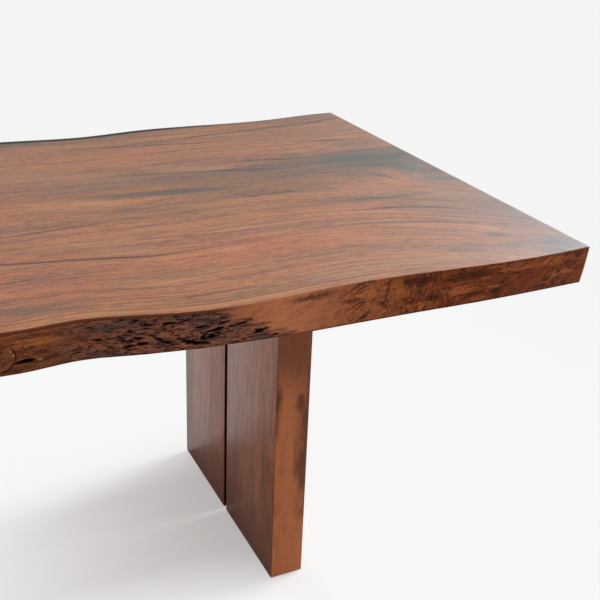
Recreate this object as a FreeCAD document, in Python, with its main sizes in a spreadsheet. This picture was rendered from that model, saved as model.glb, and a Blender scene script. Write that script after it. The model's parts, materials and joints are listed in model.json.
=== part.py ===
import FreeCAD
import Part
import Sketcher
import math
import os
import re

# Live edge dining table: one thick slab on two legs, each leg a pair of broad planks with a shadow gap.
# Millimetres. +X runs along the table, +Y to its back, +Z up. The origin is on the floor, under the
# middle of the top. "Left" and "right" are as seen from the front, which faces -Y.

# Driving dimensions
SIZES = {
    # slab
    "slab_length": 2200,
    "slab_width": 996,
    "slab_thickness": 72,
    "table_height": 760,
    "edge_round": 3,
    # legs
    "plank_width": 249,
    "plank_thickness": 70,
    "plank_gap": 12,
    "plank_arris": 2.5,
    "leg_overhang": 410,
    # dowels that tie the two planks of a leg
    "dowel_diameter": 20,
    "dowel_depth": 42,
    "dowel_end_inset": 130,
    "dowel_clearance": 0.1,
    # steel plate on top of each leg, let in flush with the underside of the slab
    "plate_thickness": 8,
    "plate_flange": 45,
    "plate_inset": 10,
    "plate_corner_radius": 8,
    "plate_bolt_inset": 45,
    "plate_clearance": 0.5,
    # steel channels let into the underside across the grain
    "channel_width": 40,
    "channel_height": 20,
    "channel_wall": 4,
    "channel_length": 640,
    "channel_setback": 190,
    "channel_bolt_inset": 65,
    "channel_clearance": 0.5,
    # hex bolts, washers, slots and threaded inserts
    "bolt_diameter": 8,
    "bolt_head_flats": 13,
    "bolt_head_height": 5.3,
    "bolt_tip": 1,
    "plate_bolt_length": 30,
    "channel_bolt_length": 25,
    "washer_diameter": 24,
    "washer_thickness": 2,
    "washer_clearance": 0.25,
    "slot_length": 16,
    "slot_clearance": 0.5,
    "insert_diameter": 12,
    "insert_length": 20,
    "insert_hole_spare": 6,
    "insert_clearance": 0.1,
    "thread_clearance": 0.1,
    # countersunk screws that hold the planks to the plate
    "screw_diameter": 8,
    "screw_head_diameter": 15,
    "screw_length": 110,
    "screw_point": 8,
    "screw_edge_inset": 50,
    "screw_face_inset": 18,
    "screw_clearance": 0.1,
    "screw_hole_spare": 3,
    # glides under the planks
    "glide_diameter": 32,
    "glide_thickness": 6,
    "glide_proud": 2,
    "glide_rim": 1,
    "glide_edge_inset": 40,
    "glide_clearance": 0.2,
    "glide_screw_diameter": 4,
    "glide_screw_head_diameter": 8,
    "glide_screw_length": 25,
    "glide_screw_point": 4,
    "glide_screw_sink": 1,
    # how far a cutting shape runs past the face that it cuts
    "cut_overrun": 5,
}

# Each live edge from the right end to the left: the place along the slab as a share of its length from
# the middle, the reach as a share of half its width, and how far the bottom is undercut as a share of
# its thickness.
FRONT_EDGE_SHARES = [
    (0.500, 0.984, 0.14),
    (0.423, 1.000, 0.20),
    (0.359, 0.986, 0.11),
    (0.302, 0.972, 0.05),
    (0.245, 0.986, 0.15),
    (0.175, 0.992, 0.32),
    (0.136, 0.956, 0.24),
    (0.095, 0.922, 0.21),
    (0.064, 0.928, 0.18),
    (0.009, 0.912, 0.22),
    (-0.068, 0.932, 0.30),
    (-0.173, 0.978, 0.26),
    (-0.255, 0.966, 0.16),
    (-0.345, 0.934, 0.20),
    (-0.432, 0.950, 0.24),
    (-0.500, 0.968, 0.17),
]
BACK_EDGE_SHARES = [
    (0.500, 0.984, 0.16),
    (0.459, 0.972, 0.18),
    (0.414, 0.945, 0.24),
    (0.364, 0.940, 0.28),
    (0.305, 0.950, 0.22),
    (0.264, 0.945, 0.20),
    (0.202, 0.909, 0.26),
    (0.162, 0.920, 0.22),
    (0.124, 0.936, 0.18),
    (0.009, 0.984, 0.24),
    (-0.068, 1.000, 0.20),
    (-0.182, 0.972, 0.30),
    (-0.273, 0.944, 0.24),
    (-0.364, 0.954, 0.16),
    (-0.455, 0.976, 0.20),
    (-0.500, 0.972, 0.18),
]
# The widest level of a live edge, as a share of the thickness above the underside
WIDEST_LEVEL_SHARE = 0.55

# Places worked out from the driving dimensions
UNDERSIDE = "(table_height - slab_thickness)"
PLANK_HEIGHT = "(table_height - slab_thickness - glide_proud)"
PLANK_MIDDLE = "((plank_gap + plank_width) / 2)"
LEG_MIDDLE = "(slab_length / 2 - leg_overhang - plank_thickness / 2)"
PLATE_LENGTH = "(2 * plank_width + plank_gap - 2 * plate_inset)"
PLATE_WIDTH = "(plank_thickness + 2 * plate_flange)"
PLATE_BOLT_ROW = "((plank_thickness + plate_flange) / 2)"
PLATE_BOLT_REACH = f"({PLATE_LENGTH} / 2 - plate_bolt_inset)"
CHANNEL_PLACE = "(slab_length / 2 - channel_setback)"
CHANNEL_BOLT_REACH = "(channel_length / 2 - channel_bolt_inset)"
DOWEL_REACH = f"({PLANK_HEIGHT} / 2 - dowel_end_inset)"
GLIDE_REACH = "(plank_width / 2 - glide_edge_inset)"
SCREW_HEAD_HEIGHT = "((screw_head_diameter - screw_diameter) / 2)"
GLIDE_SCREW_HEAD_HEIGHT = "((glide_screw_head_diameter - glide_screw_diameter) / 2)"

LEGS = {"left": -1, "right": 1}
PLANKS = {"front": -1, "rear": 1}
CHANNELS = {"left": -1, "centre": 0, "right": 1}
DOWELS = {"lower": -1, "middle": 0, "upper": 1}
GLIDES = {"front": -1, "rear": 1}
BOTH_SIDES = (-1, 1)
PLATE_BOLT_REACH_SHARES = (-1, 0, 1)
CHANNEL_BOLT_REACH_SHARES = ("-1", "-1 / 3", "1 / 3", "1")

doc = FreeCAD.newDocument("live_edge_dining_table")
sheet = doc.addObject("Spreadsheet::Sheet", "sizes")
for row, (alias, length) in enumerate(SIZES.items(), start=1):
    sheet.set(f"A{row}", alias)
    sheet.set(f"B{row}", str(length))
    sheet.setAlias(f"B{row}", alias)
doc.recompute()

subparts = []


def size(alias):
    """A driving dimension, read from the sheet."""
    return float(sheet.get(alias))


# Helpers that bind sizes and places to the sheet
def bound(formula):
    """A formula in the sheet's own names, written as an expression of the document."""
    return re.sub(r"[a-z]+(_[a-z]+)+", lambda word: f"sizes.{word.group(0)}", str(formula))


def bind(thing, prop, formula):
    thing.setExpression(prop, bound(formula))


def place(thing, x, y, z):
    for axis, formula in zip("xyz", (x, y, z)):
        bind(thing, f"Placement.Base.{axis}", formula)


def finish(thing, label):
    """Marks a sub-part, whose label names its file."""
    thing.Label = label
    subparts.append(thing)
    return thing


# Helpers that make bound primitives
def box(name, length, width, height, x, y, z):
    """A box whose low face is centred on x, y at z."""
    made = doc.addObject("Part::Box", name)
    bind(made, "Length", length)
    bind(made, "Width", width)
    bind(made, "Height", height)
    place(made, f"{x} - ({length}) / 2", f"{y} - ({width}) / 2", z)
    return made


def cylinder(name, radius, height, x, y, z):
    made = doc.addObject("Part::Cylinder", name)
    bind(made, "Radius", radius)
    bind(made, "Height", height)
    place(made, x, y, z)
    return made


def cone(name, low_radius, high_radius, height, x, y, z):
    made = doc.addObject("Part::Cone", name)
    bind(made, "Radius1", low_radius)
    bind(made, "Radius2", high_radius)
    bind(made, "Height", height)
    place(made, x, y, z)
    return made


def hexagon(name, across_flats, height, x, y, z):
    made = doc.addObject("Part::Prism", name)
    made.Polygon = 6
    bind(made, "Circumradius", f"{across_flats} / (2 * cos(30 deg))")
    bind(made, "Height", height)
    place(made, x, y, z)
    return made


def fuse(name, pieces):
    made = doc.addObject("Part::MultiFuse", name)
    made.Shapes = pieces
    return made


def cut(name, base, tool):
    made = doc.addObject("Part::Cut", name)
    made.Base = base
    made.Tool = tool
    return made


def group(label, pieces):
    """Identical pieces that share one node as separate solids."""
    made = doc.addObject("Part::Compound", label)
    made.Links = pieces
    return finish(made, label)


# Helpers for bodies
def new_body(label, x, y, z):
    made = doc.addObject("PartDesign::Body", label)
    place(made, x, y, z)
    return finish(made, label)


def polygon(body, plane_role, corners):
    """A closed sketch on one of the body's own origin planes. It is drawn roughly, as a ring of corners,
    and each corner is then bound to its pair of formulas."""
    sketch = body.newObject("Sketcher::SketchObject", f"{body.Name}_outline")
    plane = next(item for item in body.Origin.OriginFeatures if item.Role == plane_role)
    sketch.AttachmentSupport = [(plane, "")]
    sketch.MapMode = "FlatFace"
    count = len(corners)
    turns = [2 * math.pi * index / count for index in range(count)]
    rough = [FreeCAD.Vector(math.cos(turn), math.sin(turn), 0) for turn in turns]
    for start, end in zip(rough, rough[1:] + rough[:1]):
        sketch.addGeometry(Part.LineSegment(start, end), False)
    for index in range(count):
        sketch.addConstraint(Sketcher.Constraint("Coincident", index, 2, (index + 1) % count, 1))
    for index, (across, along) in enumerate(corners):
        drawn = rough[index]
        for kind, formula, distance in (("DistanceX", across, drawn.x), ("DistanceY", along, drawn.y)):
            number = sketch.addConstraint(Sketcher.Constraint(kind, -1, 1, index, 1, distance))
            bind(sketch, f"Constraints[{number}]", formula)
    return sketch


def rectangle(body, plane_role, width, depth):
    """A rectangle centred on the body's origin."""
    right, back = f"({width}) / 2", f"({depth}) / 2"
    left, front = f"-{right}", f"-{back}"
    return polygon(body, plane_role, [(left, front), (right, front), (right, back), (left, back)])


def pad(body, sketch, length, both_ways=False):
    made = body.newObject("PartDesign::Pad", f"{body.Name}_pad")
    made.Profile = sketch
    made.Midplane = both_ways
    bind(made, "Length", length)
    sketch.Visibility = False
    doc.recompute()
    return made


def dress(body, kind, prop, base, wanted, size):
    """A chamfer or fillet on the edges of the base for which wanted says yes."""
    made = body.newObject(f"PartDesign::{kind}", f"{body.Name}_{kind.lower()}")
    names = [f"Edge{number}" for number, edge in enumerate(base.Shape.Edges, start=1) if wanted(edge)]
    made.Base = (base, names)
    bind(made, prop, size)
    return made


def bore(body, radius, height, x, y, z, along_y=False):
    """A round hole in a body, along Z from its low end, or along Y."""
    made = body.newObject("PartDesign::SubtractiveCylinder", f"{body.Name}_bore")
    bind(made, "Radius", radius)
    bind(made, "Height", height)
    if along_y:
        made.Placement.Rotation = FreeCAD.Rotation(FreeCAD.Vector(1, 0, 0), -90)
    place(made, x, y, z)
    return made


def countersink(body, low_radius, high_radius, height, x, y, z):
    made = body.newObject("PartDesign::SubtractiveCone", f"{body.Name}_countersink")
    bind(made, "Radius1", low_radius)
    bind(made, "Radius2", high_radius)
    bind(made, "Height", height)
    place(made, x, y, z)
    return made


def slot(body, thickness, x, y):
    """A slotted bolt hole along Y through a plate that lies from the body's origin upwards."""
    radius = "(bolt_diameter / 2 + slot_clearance)"
    height = f"({thickness} + 2 * cut_overrun)"
    reach = f"(slot_length / 2 - {radius})"
    middle = body.newObject("PartDesign::SubtractiveBox", f"{body.Name}_slot")
    bind(middle, "Length", f"2 * {radius}")
    bind(middle, "Width", f"2 * {reach}")
    bind(middle, "Height", height)
    place(middle, f"{x} - {radius}", f"{y} - {reach}", "-cut_overrun")
    for end in BOTH_SIDES:
        bore(body, radius, height, x, f"{y} + {end} * {reach}", "-cut_overrun")


def is_upright(edge):
    start, end = (vertex.Point for vertex in edge.Vertexes)
    return abs(end.z - start.z) > edge.Length / 2


# Slab
def level_outline(height, set_back):
    """The slab's outline at one height. set_back gives how far a live edge lies inside its widest level."""
    length, half_width = size("slab_length"), size("slab_width") / 2
    edges = []
    for side, shares in ((-1, FRONT_EDGE_SHARES), (1, BACK_EDGE_SHARES)):
        points = [
            FreeCAD.Vector(along * length, side * (reach * half_width - set_back(undercut)), height)
            for along, reach, undercut in shares
        ]
        curve = Part.BSplineCurve()
        curve.interpolate(points)
        edges.append(curve.toShape())
    front, back = edges
    right = Part.makeLine(front.Vertexes[0].Point, back.Vertexes[0].Point)
    left = Part.makeLine(front.Vertexes[-1].Point, back.Vertexes[-1].Point)
    return Part.Wire(Part.__sortEdges__([front, right, back, left]))


def live_edge_blank():
    """The slab before anything is let into it: a loft from its underside to its top."""
    top, thickness = size("table_height"), size("slab_thickness")
    underside = top - thickness
    outlines = [
        level_outline(underside, lambda undercut: undercut * thickness),
        level_outline(underside + WIDEST_LEVEL_SHARE * thickness, lambda undercut: 0),
        level_outline(top, lambda undercut: size("edge_round")),
    ]
    blank = doc.addObject("Part::Feature", "live_edge_blank")
    blank.Shape = Part.makeLoft(outlines, True)
    return blank


def plate_recess(side):
    """The pocket in the underside that a leg's plate is let into."""
    return box(
        "plate_recess", f"{PLATE_WIDTH} + 2 * plate_clearance", f"{PLATE_LENGTH} + 2 * plate_clearance",
        "plate_thickness + cut_overrun", f"{side} * {LEG_MIDDLE}", "0", f"{UNDERSIDE} - cut_overrun",
    )


def channel_grooves(side):
    """The shallow groove for a channel's web and the two deep ones for its flanges."""
    middle = f"{side} * {CHANNEL_PLACE}"
    low = f"{UNDERSIDE} - cut_overrun"
    length = "channel_length + 2 * channel_clearance"
    flange = "channel_wall + 2 * channel_clearance"
    depth = "channel_height + channel_clearance + cut_overrun"
    web = "channel_width + 2 * channel_clearance"
    grooves = [box("web_groove", web, length, "channel_wall + cut_overrun", middle, "0", low)]
    for edge in BOTH_SIDES:
        across = f"{middle} + {edge} * (channel_width - channel_wall) / 2"
        grooves.append(box("flange_groove", flange, length, depth, across, "0", low))
    return grooves


def insert_hole(seat, bolt_length, x, y):
    """A hole for an insert, deep enough for the bolt that comes through it."""
    radius = "insert_diameter / 2 + insert_clearance"
    depth = f"max(insert_length; {bolt_length} - washer_thickness - {seat}) + insert_hole_spare"
    return cylinder("insert_hole", radius, depth, x, y, f"{UNDERSIDE} + {seat}")


def slab():
    hollows = []
    for side in LEGS.values():
        hollows.append(plate_recess(side))
        for x, y in plate_bolt_places(side):
            hollows.append(insert_hole("plate_thickness", "plate_bolt_length", x, y))
    for side in CHANNELS.values():
        hollows += channel_grooves(side)
        for x, y in channel_bolt_places(side):
            hollows.append(insert_hole("channel_wall", "channel_bolt_length", x, y))
    finish(cut("slab", live_edge_blank(), fuse("slab_hollows", hollows)), "slab_top")


# Bolts, washers and threaded inserts
def plate_bolt_places(side):
    return [
        (f"{side} * {LEG_MIDDLE} + {row} * {PLATE_BOLT_ROW}", f"{share} * {PLATE_BOLT_REACH}")
        for row in BOTH_SIDES
        for share in PLATE_BOLT_REACH_SHARES
    ]


def channel_bolt_places(side):
    x = f"{side} * {CHANNEL_PLACE}"
    return [(x, f"{share} * {CHANNEL_BOLT_REACH}") for share in CHANNEL_BOLT_REACH_SHARES]


def bolt(length, x, y):
    seat = f"{UNDERSIDE} - washer_thickness"
    radius = "bolt_diameter / 2"
    return fuse("bolt", [
        hexagon("bolt_head", "bolt_head_flats", "bolt_head_height", x, y, f"{seat} - bolt_head_height"),
        cylinder("bolt_shank", radius, f"{length} - bolt_tip", x, y, seat),
        cone("bolt_tip", radius, f"{radius} - bolt_tip", "bolt_tip", x, y, f"{seat} + {length} - bolt_tip"),
    ])


def ring(name, outer, inner, height, x, y, z):
    """A plain sleeve or washer."""
    return cut(name, cylinder(f"{name}_outside", outer, height, x, y, z),
               cylinder(f"{name}_bore", inner, height, x, y, z))


def bolted_joint(name, places, seat, bolt_length):
    """The bolts, washers and inserts that hold one piece of steel to the slab."""
    group(f"{name}_bolts", [bolt(bolt_length, x, y) for x, y in places])
    group(f"{name}_washers", [
        ring("washer", "washer_diameter / 2", "bolt_diameter / 2 + washer_clearance", "washer_thickness",
             x, y, f"{UNDERSIDE} - washer_thickness")
        for x, y in places
    ])
    group(f"{name}_inserts", [
        ring("insert", "insert_diameter / 2", "bolt_diameter / 2 + thread_clearance", "insert_length",
             x, y, f"{UNDERSIDE} + {seat}")
        for x, y in places
    ])


# Channels
def channel(name, side):
    body = new_body(f"{name}_channel", f"{side} * {CHANNEL_PLACE}", "0", UNDERSIDE)
    half, inside = "channel_width / 2", "(channel_width / 2 - channel_wall)"
    profile = polygon(body, "XZ_Plane", [
        (f"-{half}", "0"), (half, "0"), (half, "channel_height"), (inside, "channel_height"),
        (inside, "channel_wall"), (f"-{inside}", "channel_wall"), (f"-{inside}", "channel_height"),
        (f"-{half}", "channel_height"),
    ])
    pad(body, profile, "channel_length", both_ways=True)
    for share in CHANNEL_BOLT_REACH_SHARES:
        slot(body, "channel_wall", "0", f"{share} * {CHANNEL_BOLT_REACH}")
    bolted_joint(f"{name}_channel", channel_bolt_places(side), "channel_wall", "channel_bolt_length")


# Legs
def screw_places():
    """The screws of one plank, from the plank's own middle."""
    across, along = "(plank_thickness / 2 - screw_face_inset)", "(plank_width / 2 - screw_edge_inset)"
    return [(f"{row} * {across}", f"{side} * {along}") for row in BOTH_SIDES for side in BOTH_SIDES]


def leg_plate(name, side):
    body = new_body(f"{name}_leg_plate", f"{side} * {LEG_MIDDLE}", "0", UNDERSIDE)
    block = pad(body, rectangle(body, "XY_Plane", PLATE_WIDTH, PLATE_LENGTH), "plate_thickness")
    dress(body, "Fillet", "Radius", block, is_upright, "plate_corner_radius")
    for row in BOTH_SIDES:
        for share in PLATE_BOLT_REACH_SHARES:
            slot(body, "plate_thickness", f"{row} * {PLATE_BOLT_ROW}", f"{share} * {PLATE_BOLT_REACH}")
    radius = "(screw_diameter / 2 + screw_clearance)"
    head = "(screw_head_diameter / 2 + screw_clearance)"
    for plank in PLANKS.values():
        for x, y in screw_places():
            y = f"{plank} * {PLANK_MIDDLE} + {y}"
            bore(body, radius, "plate_thickness + 2 * cut_overrun", x, y, "-cut_overrun")
            countersink(body, radius, head, SCREW_HEAD_HEIGHT, x, y, f"plate_thickness - {SCREW_HEAD_HEIGHT}")
    bolted_joint(f"{name}_leg_plate", plate_bolt_places(side), "plate_thickness", "plate_bolt_length")


def plank(label, leg_side, plank_side):
    """One broad plank with its dowel holes, screw holes and seats for glides."""
    body = new_body(label, f"{leg_side} * {LEG_MIDDLE}", f"{plank_side} * {PLANK_MIDDLE}", "glide_proud")
    board = pad(body, rectangle(body, "XY_Plane", "plank_thickness", "plank_width"), PLANK_HEIGHT)
    top = board.Shape.BoundBox.ZMax
    dress(body, "Chamfer", "Size", board, lambda edge: edge.BoundBox.ZMin < top, "plank_arris")
    dowel_end = "plank_width / 2 - dowel_depth" if plank_side < 0 else "-plank_width / 2 - cut_overrun"
    for share in DOWELS.values():
        bore(body, "dowel_diameter / 2 + dowel_clearance", "dowel_depth + cut_overrun", "0", dowel_end,
             f"{PLANK_HEIGHT} / 2 + {share} * {DOWEL_REACH}", along_y=True)
    screw_depth = "(screw_length - plate_thickness + screw_hole_spare)"
    for x, y in screw_places():
        bore(body, "screw_diameter / 2 + screw_clearance", f"{screw_depth} + cut_overrun", x, y,
             f"{PLANK_HEIGHT} - {screw_depth}")
    for side in GLIDES.values():
        y = f"{side} * {GLIDE_REACH}"
        bore(body, "glide_diameter / 2 + glide_clearance", "glide_thickness - glide_proud + cut_overrun",
             "0", y, "-cut_overrun")
        bore(body, "glide_screw_diameter / 2 + screw_clearance",
             "glide_screw_length + glide_screw_sink + screw_hole_spare", "0", y, "-glide_proud")


def plank_screw(x, y):
    top = f"({UNDERSIDE} + plate_thickness)"
    radius = "screw_diameter / 2"
    low = f"{top} - screw_length"
    return fuse("plank_screw", [
        cone("screw_head", radius, "screw_head_diameter / 2", SCREW_HEAD_HEIGHT, x, y,
             f"{top} - {SCREW_HEAD_HEIGHT}"),
        cylinder("screw_shank", radius, f"screw_length - screw_point - {SCREW_HEAD_HEIGHT}", x, y,
                 f"{low} + screw_point"),
        cone("screw_point", "screw_diameter / 8", radius, "screw_point", x, y, low),
    ])


def plank_screws(label, leg_side, plank_side):
    group(f"{label}_screws", [
        plank_screw(f"{leg_side} * {LEG_MIDDLE} + {x}", f"{plank_side} * {PLANK_MIDDLE} + {y}")
        for x, y in screw_places()
    ])


def tie_dowel(label, leg_side, share):
    """A dowel that crosses the gap and ends in both planks of a leg."""
    half_length = "(dowel_depth + plank_gap / 2 - dowel_clearance)"
    height = f"glide_proud + {PLANK_HEIGHT} / 2 + {share} * {DOWEL_REACH}"
    dowel = cylinder(label, "dowel_diameter / 2", f"2 * {half_length}",
                     f"{leg_side} * {LEG_MIDDLE}", f"-{half_length}", height)
    dowel.Placement.Rotation = FreeCAD.Rotation(FreeCAD.Vector(1, 0, 0), -90)
    finish(dowel, label)


# Glides
def glide(label, x, y):
    radius = "glide_diameter / 2"
    hole = "(glide_screw_diameter / 2 + screw_clearance)"
    head = "(glide_screw_head_diameter / 2 + screw_clearance)"
    disc = fuse("glide_disc", [
        cone("glide_rim", f"{radius} - glide_rim", radius, "glide_rim", x, y, "0"),
        cylinder("glide_top", radius, "glide_thickness - glide_rim", x, y, "glide_rim"),
    ])
    hollow = fuse("glide_hollow", [
        cylinder("glide_hole", hole, "glide_thickness + cut_overrun", x, y, "0"),
        cone("glide_countersink", head, hole, GLIDE_SCREW_HEAD_HEIGHT, x, y, "glide_screw_sink"),
        cylinder("glide_mouth", head, "glide_screw_sink + cut_overrun", x, y, "-cut_overrun"),
    ])
    finish(cut(label, disc, hollow), label)


def glide_screw(x, y):
    radius = "glide_screw_diameter / 2"
    straight = f"glide_screw_length - {GLIDE_SCREW_HEAD_HEIGHT} - glide_screw_point"
    shank_low = f"glide_screw_sink + {GLIDE_SCREW_HEAD_HEIGHT}"
    tip_low = f"{shank_low} + {straight}"
    return fuse("glide_screw", [
        cone("glide_screw_head", "glide_screw_head_diameter / 2", radius, GLIDE_SCREW_HEAD_HEIGHT, x, y,
             "glide_screw_sink"),
        cylinder("glide_screw_shank", radius, straight, x, y, shank_low),
        cone("glide_screw_tip", radius, f"{radius} / 4", "glide_screw_point", x, y, tip_low),
    ])


def plank_glides(label, leg_side, plank_side):
    x = f"{leg_side} * {LEG_MIDDLE}"
    middle = f"{plank_side} * {PLANK_MIDDLE}"
    places = {end: f"{middle} + {side} * {GLIDE_REACH}" for end, side in GLIDES.items()}
    for end, y in places.items():
        glide(f"{label}_{end}_glide", x, y)
    group(f"{label}_glide_screws", [glide_screw(x, y) for y in places.values()])


def leg(name, side):
    leg_plate(name, side)
    for place_name, plank_side in PLANKS.items():
        label = f"{name}_leg_{place_name}_plank"
        plank(label, side, plank_side)
        plank_screws(label, side, plank_side)
        plank_glides(label, side, plank_side)
    for height_name, share in DOWELS.items():
        tie_dowel(f"{name}_leg_{height_name}_dowel", side, share)


# The whole table
slab()
for channel_name, channel_side in CHANNELS.items():
    channel(channel_name, channel_side)
for leg_name, leg_side in LEGS.items():
    leg(leg_name, leg_side)
doc.recompute()

# Nothing is written unless every object is sound
for thing in doc.Objects:
    if {"Invalid", "Error"} & set(thing.State):
        raise RuntimeError(f"{thing.Label} failed: {thing.State}")
for thing in subparts:
    if thing.Shape.isNull() or not thing.Shape.isValid() or not thing.Shape.Solids:
        raise RuntimeError(f"{thing.Label} has no sound solid")

os.makedirs("parts", exist_ok=True)
for thing in subparts:
    thing.Shape.exportStep(f"parts/{thing.Label}.step")
    print(f"{thing.Label}: {len(thing.Shape.Solids)} solid(s), {thing.Shape.Volume / 1000:.1f} cm3")
print(f"{len(subparts)} sub-parts")
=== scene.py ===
# %% [markdown]
# # A live edge dining table
#
# The real table is one thick slab of tropical hardwood on two legs. Each leg is a pair of broad planks
# with a finger's width of air between them. Most of its character is in the wood: the straight top grain
# with a dark heart, the pitted bark strip along part of the front edge, and the curly figure beside it.
#
# The construction is loaded as a fixed frame, and nothing in it is moved. This lesson gives the table its
# finish: a finely modelled slab and planks in place of the plain solids, and a material for every piece.

# %% Load the frame
import json
import math

import bmesh
import bpy
from mathutils import Matrix, Vector, noise
from mathutils.bvhtree import BVHTree


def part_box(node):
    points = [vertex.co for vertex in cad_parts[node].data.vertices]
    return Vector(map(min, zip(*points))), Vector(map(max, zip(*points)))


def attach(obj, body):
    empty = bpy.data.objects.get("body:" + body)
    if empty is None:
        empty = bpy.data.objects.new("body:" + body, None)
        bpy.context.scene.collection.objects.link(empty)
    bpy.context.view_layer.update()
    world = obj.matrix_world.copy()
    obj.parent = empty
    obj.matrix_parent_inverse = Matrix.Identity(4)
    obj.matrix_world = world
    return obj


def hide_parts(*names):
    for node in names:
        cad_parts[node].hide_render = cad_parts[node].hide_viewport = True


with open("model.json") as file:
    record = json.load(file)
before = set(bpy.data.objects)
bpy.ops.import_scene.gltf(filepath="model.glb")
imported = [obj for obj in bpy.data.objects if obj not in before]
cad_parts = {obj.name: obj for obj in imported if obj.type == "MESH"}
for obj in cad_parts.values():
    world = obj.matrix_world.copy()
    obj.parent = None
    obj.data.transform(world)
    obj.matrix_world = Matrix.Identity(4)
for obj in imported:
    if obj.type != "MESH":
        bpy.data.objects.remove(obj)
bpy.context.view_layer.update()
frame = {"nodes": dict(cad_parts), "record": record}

# %% [markdown]
# ## Camera
#
# The photograph is taken from the front, a little above the top, with the right end of the table in view.
# Its direction can be set by eye, but here it was worked out from the table's straight edges, which give
# the height, the turn and the focal length together. The camera leans by a couple of degrees, as a camera
# that is held in the hand does.

# %% Camera
CAMERA_PLACE = Vector((-0.0508, -1.6620, 1.3592))
CAMERA_YAW = 0.4676
CAMERA_PITCH = 0.4343
CAMERA_ROLL = 0.0433
FOCAL_LENGTH_PIXELS = 964
IMAGE_PIXELS = 600
SENSOR_MM = 36

camera = bpy.data.objects.new("photo_camera", bpy.data.cameras.new("photo_camera"))
bpy.context.scene.collection.objects.link(camera)
camera.data.sensor_width = SENSOR_MM
camera.data.lens = SENSOR_MM * FOCAL_LENGTH_PIXELS / IMAGE_PIXELS
turn = Matrix.Rotation(-CAMERA_YAW, 4, "Z")
tilt = Matrix.Rotation(math.pi / 2 - CAMERA_PITCH, 4, "X")
lean = Matrix.Rotation(CAMERA_ROLL, 4, "Z")
camera.matrix_world = Matrix.Translation(CAMERA_PLACE) @ turn @ tilt @ lean
bpy.context.scene.camera = camera
bpy.context.scene.view_settings.view_transform = "Standard"
print("camera: lens", round(camera.data.lens, 2), "mm")

# %% [markdown]
# ## Writing materials as formulas
#
# A node tree is easier to read as a formula than as a list of nodes and links. This small helper adds one
# node per call and returns its output, so that an output can be handed straight to the next call. A plain
# number is set on the socket, and another node's output is linked to it.

# %% Formula helper
class Formula:
    """A node tree under construction. A method adds a node, or one per value, and returns its output."""

    def __init__(self, name, owner=None):
        self.owner = owner or bpy.data.materials.new(name)
        self.owner.use_nodes = True
        self.tree = self.owner.node_tree
        self.tree.nodes.clear()

    def node(self, kind, inputs=None, **settings):
        made = self.tree.nodes.new(f"ShaderNode{kind}")
        for name, value in settings.items():
            setattr(made, name, value)
        for name, value in (inputs or {}).items():
            if isinstance(value, bpy.types.NodeSocket):
                self.tree.links.new(value, made.inputs[name])
            else:
                made.inputs[name].default_value = value
        return made

    def place(self):
        return self.node("TexCoord").outputs["Object"]

    def attribute(self, name, output="Fac"):
        return self.node("Attribute", attribute_name=name).outputs[output]

    def math(self, operation, *values):
        return self.node("Math", dict(enumerate(values)), operation=operation).outputs[0]

    def add(self, *values):
        total = values[0]
        for value in values[1:]:
            total = self.math("ADD", total, value)
        return total

    def times(self, *values):
        total = values[0]
        for value in values[1:]:
            total = self.math("MULTIPLY", total, value)
        return total

    def less(self, value, taken):
        return self.math("SUBTRACT", value, taken)

    def size(self, value):
        return self.math("ABSOLUTE", value)

    def most(self, first, second):
        return self.math("MAXIMUM", first, second)

    def least(self, first, second):
        return self.math("MINIMUM", first, second)

    def centred(self, value):
        """A noise made to lie around 0 instead of around a half."""
        return self.math("SUBTRACT", value, 0.5)

    def between(self, factor, first, second):
        return self.node("Mix", {"Factor": factor, 2: first, 3: second}, data_type="FLOAT").outputs[0]

    def fade(self, value, start, end):
        """0 at start, 1 at end, eased between, whichever of the two is larger."""
        inputs = {0: value, 1: start, 2: end}
        return self.node("MapRange", inputs, interpolation_type="SMOOTHSTEP").outputs[0]


print("number helpers:", ", ".join(name for name in vars(Formula) if not name.startswith("_")))

# %% [markdown]
# ## Places, noise and colour
#
# The second half of the helper works with places and colours: it splits, stretches and turns a place,
# draws noise, blends colours and closes a material. Wood is nearly all of it noise that is stretched
# along the tree.

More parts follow.
